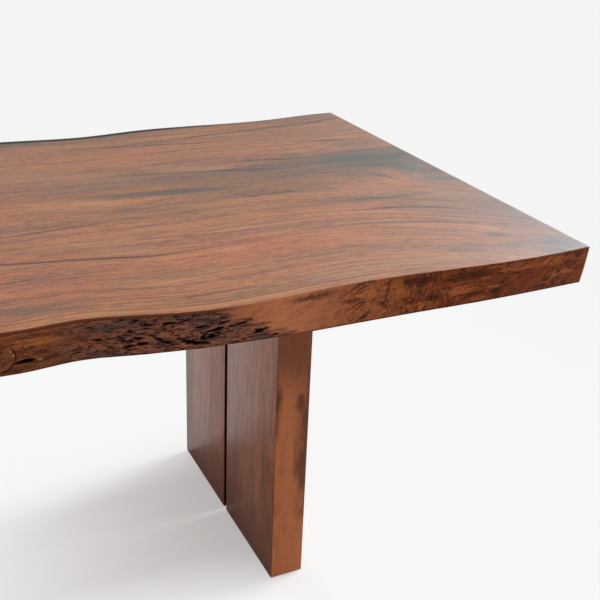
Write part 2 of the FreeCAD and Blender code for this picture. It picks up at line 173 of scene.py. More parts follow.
# %% Material helper
class Finish(Formula):
    """A whole material or world: a formula that also has places, noise and colours."""

    def split(self, vector):
        return self.node("SeparateXYZ", {0: vector}).outputs

    def join(self, x=0.0, y=0.0, z=0.0):
        return self.node("CombineXYZ", {0: x, 1: y, 2: z}).outputs[0]

    def stretch(self, vector, scale, shift=(0, 0, 0)):
        inputs = {0: vector, 1: scale, 2: shift}
        return self.node("VectorMath", inputs, operation="MULTIPLY_ADD").outputs[0]

    def moved(self, vector, shift):
        return self.node("VectorMath", {0: vector, 1: shift}, operation="ADD").outputs[0]

    def length(self, vector):
        return self.node("VectorMath", {0: vector}, operation="LENGTH").outputs["Value"]

    def toward(self, vector, heading):
        """How nearly two directions agree, 1 where they are the same."""
        made = self.node("VectorMath", {0: vector, 1: heading}, operation="DOT_PRODUCT")
        return made.outputs["Value"]

    def turn(self, vector, middle, angle):
        inputs = {"Vector": vector, "Center": middle, "Angle": angle}
        return self.node("VectorRotate", inputs, rotation_type="Y_AXIS").outputs[0]

    def noise(self, vector, scale=1.0, detail=2.0, rough=0.5, distort=0.0):
        inputs = {"Vector": vector, "Scale": scale, "Detail": detail}
        inputs.update({"Roughness": rough, "Distortion": distort})
        return self.node("TexNoise", inputs).outputs["Fac"]

    def blend(self, factor, first, second, kind="MIX"):
        inputs = {"Factor": factor, 6: first, 7: second}
        return self.node("Mix", inputs, data_type="RGBA", blend_type=kind).outputs[2]

    def ramp(self, factor, *stops):
        made = self.node("ValToRGB", {0: factor})
        made.color_ramp.elements.remove(made.color_ramp.elements[1])
        for index, (position, shade) in enumerate(stops):
            element = made.color_ramp.elements[0] if index == 0 else made.color_ramp.elements.new(position)
            element.position = position
            element.color = shade
        return made.outputs[0]

    def bump(self, height, distance):
        return self.node("Bump", {"Height": height, "Distance": distance, "Strength": 1.0}).outputs[0]

    def surface(self, **sockets):
        inputs = {name.replace("_", " "): value for name, value in sockets.items()}
        shader = self.node("BsdfPrincipled", inputs)
        self.node("OutputMaterial", {"Surface": shader.outputs[0]})
        return self.owner


print("place and colour helpers:", ", ".join(name for name in vars(Finish) if not name.startswith("_")))

# %% [markdown]
# ## Colours and objects
#
# Two more helpers are used all over. Colours are written as linear light, which is what a shader works
# in, and a finished mesh becomes an object at the origin, because every vertex is already at its place on
# the table.

# %% Colours and objects
def colour(red, green, blue):
    """A colour as a socket takes it, opaque, in linear light."""
    return (red, green, blue, 1.0)


def new_object(name, mesh_builder, finish):
    """Puts a finished mesh into the scene as an object at the origin."""
    mesh = bpy.data.meshes.new(name)
    mesh_builder.to_mesh(mesh)
    mesh_builder.free()
    mesh.materials.append(finish)
    made = bpy.data.objects.new(name, mesh)
    bpy.context.scene.collection.objects.link(made)
    return made


print("opaque white is", colour(1.0, 1.0, 1.0))

# %% [markdown]
# ## Light
#
# The photograph is a product picture: a white sweep, one soft light from the right, and pale light from
# everywhere else. A sun with a wide disc lights the whole floor evenly, which a lamp close by would not,
# and leaves the soft shadow that falls to the left of the leg.
#
# What a polished top mirrors matters as much as the light. A room that is white all round turns brown
# wood grey, so the mirrored room is dimmer than the sweep. A pale haze and one bluish window, at the
# right and behind, give the right end of the top its sheen.

# %% Light
SWEEP_WHITE = 0.90
WORLD_LEVEL = 0.54
ROOM_LEVEL = 0.44
HAZE_LEVEL = 1.75
HAZE_SIDE = Vector((0.80, 0.50, 0.33)).normalized()
HAZE_START = 0.80
WINDOW_LEVEL = 3.0
WINDOW_SIDE = Vector((0.86, 0.40, 0.32)).normalized()
WINDOW_START, WINDOW_FULL = 0.905, 0.955
SUN_LEVEL = 4.2
SUN_SIDE = Vector((0.93, 0.17, 0.37))
SUN_SPREAD = math.radians(32)
WHITE = colour(1.0, 1.0, 1.0)
COOL_WHITE = colour(0.94, 0.98, 1.0)
PALE_BLUE = colour(0.54, 0.77, 1.0)

world = bpy.data.worlds.new("white_studio")
bpy.context.scene.world = world


def studio_light():
    """White to the camera, a dimmer room to whatever mirrors it, and even light to everything else."""
    studio = Finish("white_studio", owner=world)
    ray = studio.node("LightPath").outputs
    heading = studio.node("TexCoord").outputs["Generated"]
    to_haze = studio.toward(heading, HAZE_SIDE)
    to_window = studio.toward(heading, WINDOW_SIDE)
    haze = studio.math("POWER", studio.fade(to_haze, HAZE_START, 1.0), 2.0)
    mirrored = studio.add(ROOM_LEVEL, studio.times(haze, HAZE_LEVEL))
    room = studio.node("Background", {"Color": COOL_WHITE, "Strength": mirrored}).outputs[0]
    pane = studio.times(studio.fade(to_window, WINDOW_START, WINDOW_FULL), WINDOW_LEVEL)
    window = studio.node("Background", {"Color": PALE_BLUE, "Strength": pane}).outputs[0]
    room = studio.node("AddShader", {0: room, 1: window}).outputs[0]
    lighting = studio.node("Background", {"Color": WHITE, "Strength": WORLD_LEVEL}).outputs[0]
    sweep = studio.node("Background", {"Color": WHITE, "Strength": SWEEP_WHITE}).outputs[0]
    seen = studio.most(ray["Is Camera Ray"], ray["Is Transmission Ray"])
    light = studio.node("MixShader", {0: ray["Is Glossy Ray"], 1: lighting, 2: room}).outputs[0]
    light = studio.node("MixShader", {0: seen, 1: light, 2: sweep}).outputs[0]
    studio.node("OutputWorld", {"Surface": light})


studio_light()
sun = bpy.data.objects.new("soft_sun", bpy.data.lights.new("soft_sun", "SUN"))
sun.data.energy = SUN_LEVEL
sun.data.angle = SUN_SPREAD
sun.rotation_euler = SUN_SIDE.to_track_quat("Z", "Y").to_euler()
bpy.context.scene.collection.objects.link(sun)
print("sun", SUN_LEVEL, "W per square metre,", round(math.degrees(SUN_SPREAD)), "degrees wide")

# %% [markdown]
# ## Floor
#
# The floor of the sweep is one wide matt disc. Lit by the lamps alone, its shadow would be far too dark,
# because a real sweep throws light back from all sides. A stronger world light would wash out the wood,
# so the floor is partly lit by itself to the camera: least close beside a leg, and more along the shadow,
# which fades as the one in the photograph does.
#
# The disc lets the camera look through it from below, so that the underside of the table can be seen.

# %% Floor
FLOOR_RADIUS = 14.0
FLOOR_SIDES = 96
FLOOR_GREY = colour(0.94, 0.94, 0.94)
FLOOR_GLOW = 0.05
GLOW_START, GLOW_FULL = 2.8, 0.8
OWN_LIGHT_IN_SHADOW = 0.38
OWN_LIGHT_OUTSIDE = 0.88
SHADOW_FADE = 0.78
SHADOW_START = -0.12
SHADOW_NARROWING = 0.35
SHADOW_INSIDE, SHADOW_OUTSIDE = 0.12, 0.42


def own_light_at(finish, x, y):
    """How much of the floor's light is its own at a place, least in the shadow of a leg."""
    outside = 1.0
    for plank_name in ("left_leg_front_plank", "right_leg_front_plank"):
        run = finish.less(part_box(plank_name)[0].x, x)
        sideways = finish.add(finish.size(y), finish.times(run, SHADOW_NARROWING))
        clear = finish.most(finish.fade(run, 0.0, SHADOW_FADE), finish.fade(run, 0.0, SHADOW_START))
        clear = finish.most(clear, finish.fade(sideways, SHADOW_INSIDE, SHADOW_OUTSIDE))
        outside = finish.least(outside, clear)
    gain = finish.times(outside, OWN_LIGHT_OUTSIDE - OWN_LIGHT_IN_SHADOW)
    return finish.add(OWN_LIGHT_IN_SHADOW, gain)


def floor_finish():
    """A matt floor, partly lit by itself to the camera, and seen through from below."""
    finish = Finish("pale_floor")
    x, y = finish.split(finish.place())[:2]
    own_light = own_light_at(finish, x, y)
    from_middle = finish.math("SQRT", finish.add(finish.times(x, x), finish.times(y, y)))
    middle_glow = finish.times(finish.fade(from_middle, GLOW_START, GLOW_FULL), FLOOR_GLOW)
    level = finish.add(SWEEP_WHITE, middle_glow)
    matt = finish.node("BsdfDiffuse", {"Color": FLOOR_GREY}).outputs[0]
    glow = finish.node("Emission", {"Color": WHITE, "Strength": level}).outputs[0]
    lifted = finish.node("MixShader", {0: own_light, 1: matt, 2: glow}).outputs[0]
    seen = finish.node("LightPath").outputs["Is Camera Ray"]
    mixed = finish.node("MixShader", {0: seen, 1: matt, 2: lifted}).outputs[0]
    below = finish.node("NewGeometry").outputs["Backfacing"]
    open_below = finish.node("BsdfTransparent").outputs[0]
    mixed = finish.node("MixShader", {0: below, 1: mixed, 2: open_below}).outputs[0]
    finish.node("OutputMaterial", {"Surface": mixed})
    return finish.owner


floor_mesh = bmesh.new()
bmesh.ops.create_circle(floor_mesh, cap_ends=True, segments=FLOOR_SIDES, radius=FLOOR_RADIUS)
floor = new_object("floor", floor_mesh, floor_finish())
print("floor radius", FLOOR_RADIUS, "m")

# %% [markdown]
# ## The slab's edges
#
# The solid already has the wavy outline of the two live edges. Its shape can be read back by casting rays
# at it from the front and the back, so the finer slab follows the solid and no outline is written twice.
# From the widest line a live edge falls away to the underside in a nearly straight slope.

# %% Slab outline
slab_low, slab_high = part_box("slab_top")
SLAB_THICKNESS = slab_high.z - slab_low.z
WIDEST_SHARE = 0.55
WIDEST_LEVEL = slab_low.z + WIDEST_SHARE * SLAB_THICKNESS
RAY_START = 1.0
RAY_MARGIN = 0.0004
EDGE_BELLY = 0.85
FRONT, BACK = -1, 1

slab_solid = frame["nodes"]["slab_top"].data
solid_tree = BVHTree.FromPolygons(
    [vertex.co for vertex in slab_solid.vertices],
    [face.vertices for face in slab_solid.polygons],
)


def eased(value, start, end):
    """0 at start, 1 at end, eased between."""
    share = min(max((value - start) / (end - start), 0.0), 1.0)
    return share * share * (3 - 2 * share)


def solid_reach(side, x, z):
    """How far out the solid's live edge lies from the middle line."""
    x = min(max(x, slab_low.x + RAY_MARGIN), slab_high.x - RAY_MARGIN)
    hit = solid_tree.ray_cast(Vector((x, side * RAY_START, z)), Vector((0, -side, 0)))[0]
    return side * hit.y


def slope_reach(bottom, widest, z):
    """The same for the finished edge, as a slope from its widest line at the top to the underside."""
    share = (z - slab_low.z) / SLAB_THICKNESS
    return bottom + (widest - bottom) * share ** EDGE_BELLY


print("slab", [round(size, 3) for size in slab_high - slab_low], "m, front edge at the middle",
      round(solid_reach(FRONT, 0, WIDEST_LEVEL), 4))

# %% [markdown]
# ## Bark
#
# A live edge keeps the skin of the tree. On this table it is left along part of each edge and sanded away
# elsewhere, with a ragged line where it stops and a bare rim under the top. A texture alone could give
# its colour, but bark also stands rough against the light. So the amount that is left at a place is
# worked out here, and later it both moves the vertices and colours them.

# %% Bark
# Where bark is left on each edge: start and end along the table, and how far the end leans with depth
BARK = {
    FRONT: [(0.205, 0.398, 1.92), (-0.66, -0.21, 0.0)],
    BACK: [(-0.95, -0.40, 0.0), (0.12, 0.70, 0.0)],
}
BARK_FADE = 0.045
BARK_RAGGED = 0.030
WANDER_CELL = (0.05, 0.022)
RAGGED_CELL = (0.018, 0.006)
BARE_RIM = 0.0034
RIM_WAVER = 0.4
RIM_CELL = 0.05


def edge_noise(x, z, cell, seed):
    """Smooth noise on an edge, from -1 to 1, in cells of a given length and height."""
    return noise.noise(Vector((x / cell[0], z / cell[1], seed)))


def bark_at(side, x, z):
    """How much bark is left at a place, from 0, smooth wood, to 1."""
    wander = BARK_FADE * edge_noise(x, z, WANDER_CELL, side + 0.5)
    ragged = BARK_RAGGED * edge_noise(x, z, RAGGED_CELL, side + 7.5)
    amount = 0.0
    for start, end, lean in BARK[side]:
        end += lean * (slab_high.z - z)
        begun = eased(x + wander, start - BARK_FADE, start + BARK_FADE)
        ended = eased(x + ragged, end - BARK_FADE / 3, end + BARK_FADE / 3)
        amount = max(amount, begun - ended)
    rim = BARE_RIM * (1 + RIM_WAVER * noise.noise(Vector((x / RIM_CELL, side + 4.5, 0))))
    return amount * eased(slab_high.z - z, rim * 0.8, rim * 1.15)


print("bark on the front:", BARK[FRONT], "on the back:", BARK[BACK])

# %% [markdown]
# ## Pits
#
# Dry bark breaks into pits shaped like lenses that lie along the tree. The small ones come from a pattern
# of cells that is stretched along the edge, with more of them in some places than in others. All of them
# could be noise, but the largest pits are the ones that the eye remembers, so they are listed one by one.

# %% Pits
PIT_LENGTH = 0.019
PIT_HEIGHT = 0.0048
PIT_BEND_CELL = (0.011, 0.005)
CROWD_CELL = (0.070, 0.030)
SMALLER_PITS = 1.9
BARE_FOOT = 0.005

# The largest pits on the front edge: place along and up, half length, half height and slope
LARGE_PITS = [
    (0.480, 0.706, 0.012, 0.0034, 0.22),
    (0.509, 0.695, 0.006, 0.0018, 0.00),
    (0.404, 0.711, 0.017, 0.0068, 0.10),
    (0.409, 0.721, 0.015, 0.0040, 0.20),
    (0.386, 0.700, 0.018, 0.0024, -0.15),
    (0.372, 0.705, 0.012, 0.0020, -0.25),
    (0.360, 0.712, 0.013, 0.0020, -0.10),
    (0.337, 0.708, 0.011, 0.0022, 0.00),
    (0.339, 0.742, 0.010, 0.0028, 0.05),
    (0.449, 0.727, 0.012, 0.0024, 0.05),
    (0.386, 0.731, 0.011, 0.0020, 0.10),
    (0.420, 0.733, 0.009, 0.0020, 0.20),
    (0.360, 0.744, 0.010, 0.0018, 0.30),
    (0.312, 0.742, 0.011, 0.0018, 0.00),
    (0.241, 0.722, 0.008, 0.0019, 0.00),
    (0.283, 0.715, 0.009, 0.0020, 0.00),
    (0.304, 0.709, 0.009, 0.0018, -0.05),
    (0.284, 0.704, 0.010, 0.0026, 0.20),
    (0.297, 0.719, 0.011, 0.0016, 0.00),
    (0.140, 0.707, 0.017, 0.0034, 0.00),
]


def small_pit_at(side, x, z, bend):
    """How deep a small pit goes at a place, as a share of the full depth."""
    crowd = edge_noise(x, z, CROWD_CELL, side * 1.3 + 9.2)
    lens = Vector((x / PIT_LENGTH, z / PIT_HEIGHT + bend, side * 3.1))
    distance = noise.voronoi(lens)[0][0]
    size = 0.26 + 0.30 * crowd
    pit = 0.8 * (1 - eased(distance + 0.14 * bend, size * 0.4, size)) if size > 0 else 0.0
    smaller = noise.voronoi(lens * SMALLER_PITS)[0][0]
    return max(pit, 0.6 * (1 - eased(smaller + 0.10 * bend, 0.10, 0.30)))


def large_pit_at(side, x, z, bend):
    """The same for the pits placed by hand, which are all on the front edge."""
    deepest = 0.0
    for middle, level, half_length, half_height, slope in LARGE_PITS if side == FRONT else []:
        along = x - middle
        above = z - level - slope * along
        reach = math.hypot(along / half_length, above / half_height) + 0.6 * bend
        deepest = max(deepest, 1 - eased(reach, 0.45, 1.15))
    return deepest


def pits_at(side, x, z):
    """How deep the small and the large pits go. They end just above the foot of the edge."""
    bend = 0.5 * edge_noise(x, z, PIT_BEND_CELL, side * 7.7)
    foot = eased(z - slab_low.z, 0.0, BARE_FOOT)
    return small_pit_at(side, x, z, bend) * foot, large_pit_at(side, x, z, bend) * foot


print(len(LARGE_PITS), "large pits placed by hand")

# %% [markdown]
# ## Knot on the front edge
#
# A branch once left the tree at the front edge. Its stump stands a little proud, and the wood has shrunk
# away from it along one side, which leaves a curved crack, painted dark as shade. A bulge and a ring round
# the same middle make both, and the ring is kept only at the right.

# %% Knot
KNOT_PLACE = (0.103, 0.718)
KNOT_RADIUS = 0.021
KNOT_CELL = (0.010, 0.007)
CRACK_RADIUS = 1.12
CRACK_WIDTH = 0.05
CRACK_TURN = 0.35


def knot_at(side, x, z):
    """How far a knot stands out, and how open the crack beside it is."""
    if side == BACK:
        return 0.0, 0.0
    across, above = x - KNOT_PLACE[0], z - KNOT_PLACE[1]
    ragged = edge_noise(x, z, KNOT_CELL, 2.2)
    distance = math.hypot(across, above) / KNOT_RADIUS
    bulge = math.exp(-distance ** 4)
    crack_side = eased(math.cos(math.atan2(above, across) + CRACK_TURN), 0.1, 0.75)
    off_crack = (distance - CRACK_RADIUS + 0.10 * ragged) / CRACK_WIDTH
    return bulge, crack_side * math.exp(-off_crack ** 2) * (0.75 + 0.5 * ragged)


print("knot at", KNOT_PLACE, "m along and up,", 2 * KNOT_RADIUS, "m across")

# %% [markdown]
# ## Relief of the live edges
#
# All that lies on an edge adds up to one depth under its plain slope: the ridges and pits of the bark,
# the large pits, long waves in the bare wood, and the knot. Two shares are kept beside it for the colour:
# how much bark there is, and how much painted shade the place gets in its pits and in the knot's crack.

# %% Edge relief
PIT_DEPTH = 0.0048
CAVITY_DEPTH = 0.008
RIDGE_HEIGHT = 0.0013
RIDGE_CELL = (0.06, 0.006)
WAVE_HEIGHT = 0.0016
WAVE_CELL = (0.14, 0.05)
# Waves stand out by no more than this share of their height
WAVE_CREST = -0.2
KNOT_HEIGHT = 0.005
CRACK_DEPTH = 0.004
CRACK_SHADE = 0.7


def edge_relief(side, x, z):
    """How deep the finished edge lies under its slope, with its bark and the painted shade of its pits and
    crack.
    """
    bark = bark_at(side, x, z)
    pit, cavity = pits_at(side, x, z)
    bulge, crack = knot_at(side, x, z)
    ridge = edge_noise(x, z, RIDGE_CELL, side * 5.3)
    wave = edge_noise(x, z, WAVE_CELL, side * 2.1)
    depth = bark * (PIT_DEPTH * pit + RIDGE_HEIGHT * (1 + ridge)) + CAVITY_DEPTH * cavity
    depth += WAVE_HEIGHT * max(wave, WAVE_CREST) + CRACK_DEPTH * crack - KNOT_HEIGHT * bulge
    return depth, bark, max(bark * pit, cavity, CRACK_SHADE * crack)


print("the knot stands", round(-1000 * edge_relief(FRONT, *KNOT_PLACE)[0], 1), "mm proud")

# %% [markdown]
# ## Rows and columns of the slab
#
# One grid is wrapped round the slab: up the front edge, over the rounded arris, across the top and down
# the back edge. A cube with subdivisions would spend its faces evenly, but the flat top needs few and the
# pitted edges need many, so the rows and columns of the grid are spaced as listed.

# %% Rows and columns
ROUND_ROWS = 5
TOP_ROWS = 14
FRONT_ROWS = 44
BACK_ROWS = 26
END_COLUMNS = 4
END_ROUND = 0.002

# Spacing of the columns along the table: up to where, and how fine
COLUMN_STEPS = [(-0.72, 0.0040), (-0.18, 0.0030), (0.08, 0.0036), (0.53, 0.0016), (1.10, 0.0030)]

# A row is a part of the slab and a share of the way along that part
slab_rows = [("front", step / FRONT_ROWS) for step in range(FRONT_ROWS)]
slab_rows += [("front_round", step / ROUND_ROWS) for step in range(ROUND_ROWS)]
slab_rows += [("top", step / TOP_ROWS) for step in range(TOP_ROWS + 1)]
slab_rows += [("back_round", 1 - step / ROUND_ROWS) for step in range(1, ROUND_ROWS + 1)]
slab_rows += [("back", 1 - step / BACK_ROWS) for step in range(1, BACK_ROWS + 1)]


def column_places():
    """Where the columns lie along the table, each with how far the rounded end draws it in."""
    turns = [math.pi / 2 * step / END_COLUMNS for step in range(END_COLUMNS)]
    rounded = [(END_ROUND * (1 - math.cos(turn)), END_ROUND * (1 - math.sin(turn))) for turn in turns]
    places = [(slab_low.x + out, inset) for out, inset in rounded]
    x = slab_low.x + END_ROUND
    for limit, step in COLUMN_STEPS:
        count = round((min(limit, slab_high.x - END_ROUND) - x) / step)
        places += [(x + step * index, 0.0) for index in range(count)]
        x += step * count
    places.append((slab_high.x - END_ROUND, 0.0))
    return places + [(slab_high.x - out, inset) for out, inset in reversed(rounded)]


slab_places = column_places()
print("slab grid:", len(slab_places), "columns,", len(slab_rows), "rows")

# %% [markdown]
# ## Section of the slab
#
# A section is the line of points across the slab at one place along it. It starts at the foot of the
# front edge and ends at the foot of the back edge. The top edge is eased with a small round, a little
# larger where the bark begins under it, and the round takes its place from the relief beside it so that
# no step is left.

# %% Section
ARRIS = 0.0026
BARK_ARRIS = 0.0010
UNDER_RIM = 4 * BARE_RIM


def slab_section(x):
    """The points across the slab at one place along it, with bark, painted pit shade and turn to the side.
    """
    bottom = {side: solid_reach(side, x, slab_low.z + RAY_MARGIN) for side in (FRONT, BACK)}
    widest = {side: solid_reach(side, x, WIDEST_LEVEL) for side in (FRONT, BACK)}
    rim, corner = {}, {}
    for side in (FRONT, BACK):
        corner[side] = ARRIS + BARK_ARRIS * bark_at(side, x, slab_high.z - UNDER_RIM)
        depth, bark, dark = edge_relief(side, x, slab_high.z - corner[side] / 2)
        reach = slope_reach(bottom[side], widest[side], slab_high.z - corner[side]) - depth
        rim[side] = reach, bark, dark
    for part, share in slab_rows:
        side = FRONT if part.startswith("front") else BACK
        if part == "top":
            front = corner[FRONT] - rim[FRONT][0]
            back = rim[BACK][0] - corner[BACK]
            yield Vector((x, front + (back - front) * share, slab_high.z)), 0.0, 0.0, 0.0
        elif part.endswith("round"):
            reach, bark, dark = rim[side]
            turn = math.pi / 2 * share
            y = side * (reach - corner[side] * (1 - math.cos(turn)))
            z = slab_high.z - corner[side] * (1 - math.sin(turn))
            yield Vector((x, y, z)), bark, dark, 1 - share
        else:
            z = slab_low.z + share * (SLAB_THICKNESS - corner[side])
            depth, bark, dark = edge_relief(side, x, z)
            reach = slope_reach(bottom[side], widest[side], z) - depth
            yield Vector((x, side * reach, z)), bark, dark, 1.0


middle_section = [point.y for point, bark, dark, side in slab_section(0)]
print("width at the middle", round(max(middle_section) - min(middle_section), 3), "m")

# %% [markdown]
# ## Wrapping the slab
#
# Each vertex keeps what the material needs: how much bark and painted pit shade there is, whether it lies
# on the side, and a grain coordinate that follows the nearer live edge, because grain runs along the tree's
# own curves. The sawn ends are eased too, so the last columns are drawn in towards the middle of the end.

# %% Wrapped slab
EDGE_MEAN = 0.478
GRAIN_STRAIGHT = 0.02


def grain_place(point, front, back):
    """A place in the wood, with the waves of the nearer edge taken out of it."""
    near_front = eased(-point.y, GRAIN_STRAIGHT, EDGE_MEAN)
    near_back = eased(point.y, GRAIN_STRAIGHT, EDGE_MEAN)
    wave = near_front * (EDGE_MEAN - front) + near_back * (back - EDGE_MEAN)
    return Vector((point.x, point.y - wave, point.z))


def draw_in(point, inset, side):
    """Rounds the sawn end: pulls a point towards the middle of the end it belongs to."""
    if side > 0:
        point.y -= math.copysign(inset, point.y)
    if side < 1:
        point.z -= inset
    point.y = min(max(point.y, slab_low.y), slab_high.y)
    return point


def wrap_slab(places):
    """A grid whose columns are sections of the slab, with the columns as lists of vertices."""
    grid = bmesh.new()
    last_column, last_row = len(places) - 1, len(slab_rows) - 1
    bmesh.ops.create_grid(grid, x_segments=last_column, y_segments=last_row, size=0.5)
    bark_layer = grid.verts.layers.float.new("bark")
    pit_shade_layer = grid.verts.layers.float.new("dark")
    side_layer = grid.verts.layers.float.new("side")
    grain_layer = grid.verts.layers.float_vector.new("grain")
    columns = [[None] * len(slab_rows) for place in places]
    for vertex in grid.verts:
        column = round((vertex.co.x + 0.5) * last_column)
        row = round((vertex.co.y + 0.5) * last_row)
        columns[column][row] = vertex
    for (x, inset), members in zip(places, columns):
        front = solid_reach(FRONT, x, WIDEST_LEVEL)
        back = solid_reach(BACK, x, WIDEST_LEVEL)
        for vertex, (point, bark, dark, side) in zip(members, slab_section(x)):
            vertex[bark_layer] = bark
            vertex[pit_shade_layer] = dark
            vertex[side_layer] = side
            vertex[grain_layer] = grain_place(point, front, back)
            vertex.co = draw_in(point, inset, side)
    return grid, columns


slab_mesh, slab_columns = wrap_slab(slab_places)
print("wrapped slab:", len(slab_mesh.verts), "vertices")

# %% [markdown]
# ## Ends and underside
#
# The wrapped grid is open at the two sawn ends and below. Each end is closed by one face. The underside
# is filled round the recesses in which the steel plates and channels lie flush, and each recess gets
# walls and a ceiling, so that steel and wood never share a plane.

# %% Slab ends and underside
LET_IN = ["left_channel", "centre_channel", "right_channel", "left_leg_plate", "right_leg_plate"]
LET_IN_DEPTH = 0.009
LET_IN_ROOM = 0.001
SHARP_ANGLE = math.radians(40)


def recess(grid, node):
    """Walls and ceiling of a recess round one piece of steel. Returns the edges of its mouth."""
    low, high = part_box(node)
    middle = Matrix.Translation(((low.x + high.x) / 2, (low.y + high.y) / 2, slab_low.z + LET_IN_DEPTH))
    spread = Matrix.Diagonal((high.x - low.x + LET_IN_ROOM, high.y - low.y + LET_IN_ROOM, 1, 1))
    ceiling = bmesh.ops.create_grid(grid, x_segments=1, y_segments=1, size=0.5, matrix=middle @ spread)
    edges = list({edge for vertex in ceiling["verts"] for edge in vertex.link_edges})
    walls = bmesh.ops.extrude_edge_only(grid, edges=edges)["geom"]
    mouth = [item for item in walls if isinstance(item, bmesh.types.BMVert)]
    bmesh.ops.translate(grid, verts=mouth, vec=(0, 0, -LET_IN_DEPTH))
    grain_layer = grid.verts.layers.float_vector["grain"]
    for vertex in ceiling["verts"] + mouth:
        vertex[grain_layer] = vertex.co
    return [item for item in walls if isinstance(item, bmesh.types.BMEdge) and item.is_boundary]


def close_slab(grid, columns):
    """Fills the two sawn ends and the underside round its recesses."""
    for end in (columns[0], columns[-1]):
        grid.faces.new(end)
    rim = [edge for edge in grid.edges if edge.is_boundary]
    for node in LET_IN:
        rim += recess(grid, node)
    bmesh.ops.triangle_fill(grid, use_beauty=True, edges=rim, normal=(0, 0, -1))
    bmesh.ops.recalc_face_normals(grid, faces=grid.faces)


def soften(mesh_builder):
    """Smooth shading, with a crease only where two faces meet at a real corner."""
    for face in mesh_builder.faces:
        face.smooth = True
    for edge in mesh_builder.edges:
        edge.smooth = edge.is_manifold and edge.calc_face_angle() < SHARP_ANGLE


close_slab(slab_mesh, slab_columns)
soften(slab_mesh)
print("slab mesh:", len(slab_mesh.verts), "vertices,", len(slab_mesh.faces), "faces,",
      sum(not edge.is_manifold for edge in slab_mesh.edges), "open edges")

# %% [markdown]
# ## The wood of the slab
#
# A plank sawn through the middle of a log shows nearly straight lines that follow its edges, with wider
# and darker figure over the heart. A picture of wood would repeat and would not turn the corner on to the
# edges, so the wood is worked out in three dimensions: growth rings round a pith under the top, wandering
# a little, and every line is noise that is stretched along the tree.
#
# First its colours, which run from orange and tan through red brown to an olive heart and nearly black
# lines.

# %% Slab colours
ORANGE = colour(0.432, 0.157, 0.068)
BROWN = colour(0.300, 0.104, 0.050)
MAUVE = colour(0.335, 0.132, 0.080)
SLATE = colour(0.110, 0.078, 0.062)
INK = colour(0.032, 0.029, 0.021)
OLIVE = colour(0.092, 0.090, 0.073)
TAN = colour(0.500, 0.250, 0.122)
SAPWOOD = colour(0.520, 0.236, 0.092)
CURL = colour(0.040, 0.012, 0.005)
GLINT = colour(0.430, 0.128, 0.036)
LIP = colour(0.130, 0.033, 0.009)
BARK_BROWN = colour(0.062, 0.028, 0.022)
BARK_RED = colour(0.255, 0.090, 0.052)
BARK_GREY = colour(0.118, 0.070, 0.059)
SPLINTER_AND_GLINT = colour(0.340, 0.170, 0.095)
PAINTED_SHADE_BLACK = colour(0.005, 0.004, 0.004)
WARM_TINT = colour(1.16, 0.97, 0.90)
END_DARK = colour(0.062, 0.022, 0.010)
END_LIGHT = colour(0.205, 0.066, 0.027)

# How the smooth live edge changes along the table, from the middle to the right end
EDGE_TONES = [
    (0.00, colour(0.185, 0.054, 0.022)),
    (0.34, colour(0.210, 0.066, 0.030)),
    (0.46, colour(0.460, 0.160, 0.072)),
    (0.50, colour(0.430, 0.150, 0.068)),
    (0.57, colour(0.335, 0.106, 0.044)),
    (0.63, colour(0.295, 0.090, 0.034)),
    (0.67, colour(0.190, 0.047, 0.0165)),
    (0.76, colour(0.162, 0.037, 0.0118)),
    (0.96, colour(0.168, 0.037, 0.0108)),
    (1.00, colour(0.212, 0.050, 0.0162)),
]

print("smooth edge in", len(EDGE_TONES), "tones")

# %% [markdown]
# ## Streaks
#
# The streaks that a person would recognise are listed one by one on top of the even grain. Each is a long
# narrow lens that may slope and bend. Noise alone gives streaks of the right kind, but none of them in
# the right place.

# %% Streaks
# Dark streaks on the top: middle along and across the table, slope, bend, half length, half width, strength
STREAKS = [
    (0.250, -0.244, -0.185, 0.00, 0.240, 0.0065, 0.90),
    (0.240, -0.109, 0.090, 0.30, 0.150, 0.0060, 0.75),
    (0.230, -0.312, -0.150, 0.00, 0.130, 0.0045, 0.50),
    (0.590, 0.335, -0.109, 0.15, 0.250, 0.0060, 0.85),
    (0.810, 0.390, 0.128, 0.07, 0.320, 0.0075, 0.90),
    (0.595, 0.128, -0.150, -0.20, 0.230, 0.0095, 0.65),
    (0.261, 0.170, -0.097, 0.00, 0.110, 0.0050, 0.40),
    (0.771, 0.161, -0.160, 0.00, 0.110, 0.0090, 0.55),
    (0.695, -0.051, 0.011, 0.00, 0.090, 0.0100, 0.45),
    (0.905, -0.206, -0.325, -2.00, 0.140, 0.0105, 0.85),
    (0.830, -0.269, -0.259, -0.61, 0.250, 0.0090, 0.70),
    (0.880, -0.142, -0.070, 0.40, 0.140, 0.0110, 0.50),
    (0.731, -0.351, -0.366, 0.00, 0.060, 0.0080, 0.40),
    (0.470, -0.205, -0.120, 0.00, 0.130, 0.0045, 0.45),
    (0.440, -0.068, -0.080, 2.50, 0.060, 0.0050, 0.50),
    (0.980, 0.256, -0.160, 0.00, 0.120, 0.0110, 0.90),
    (1.030, 0.418, 0.310, 0.00, 0.100, 0.0090, 0.90),
    (1.040, 0.075, 0.050, 0.00, 0.130, 0.0750, 0.42),
    (1.075, -0.020, -0.200, 0.00, 0.060, 0.0500, 0.30),
    (0.424, -0.441, -0.032, -0.36, 0.140, 0.0045, 0.55),
    (-0.300, -0.180, -0.060, 0.10, 0.260, 0.0060, 0.75),
    (-0.650, 0.210, 0.050, -0.10, 0.240, 0.0065, 0.80),
    (-0.820, -0.300, 0.080, 0.20, 0.180, 0.0055, 0.70),
    (-0.200, 0.330, -0.030, 0.00, 0.300, 0.0060, 0.75),
]
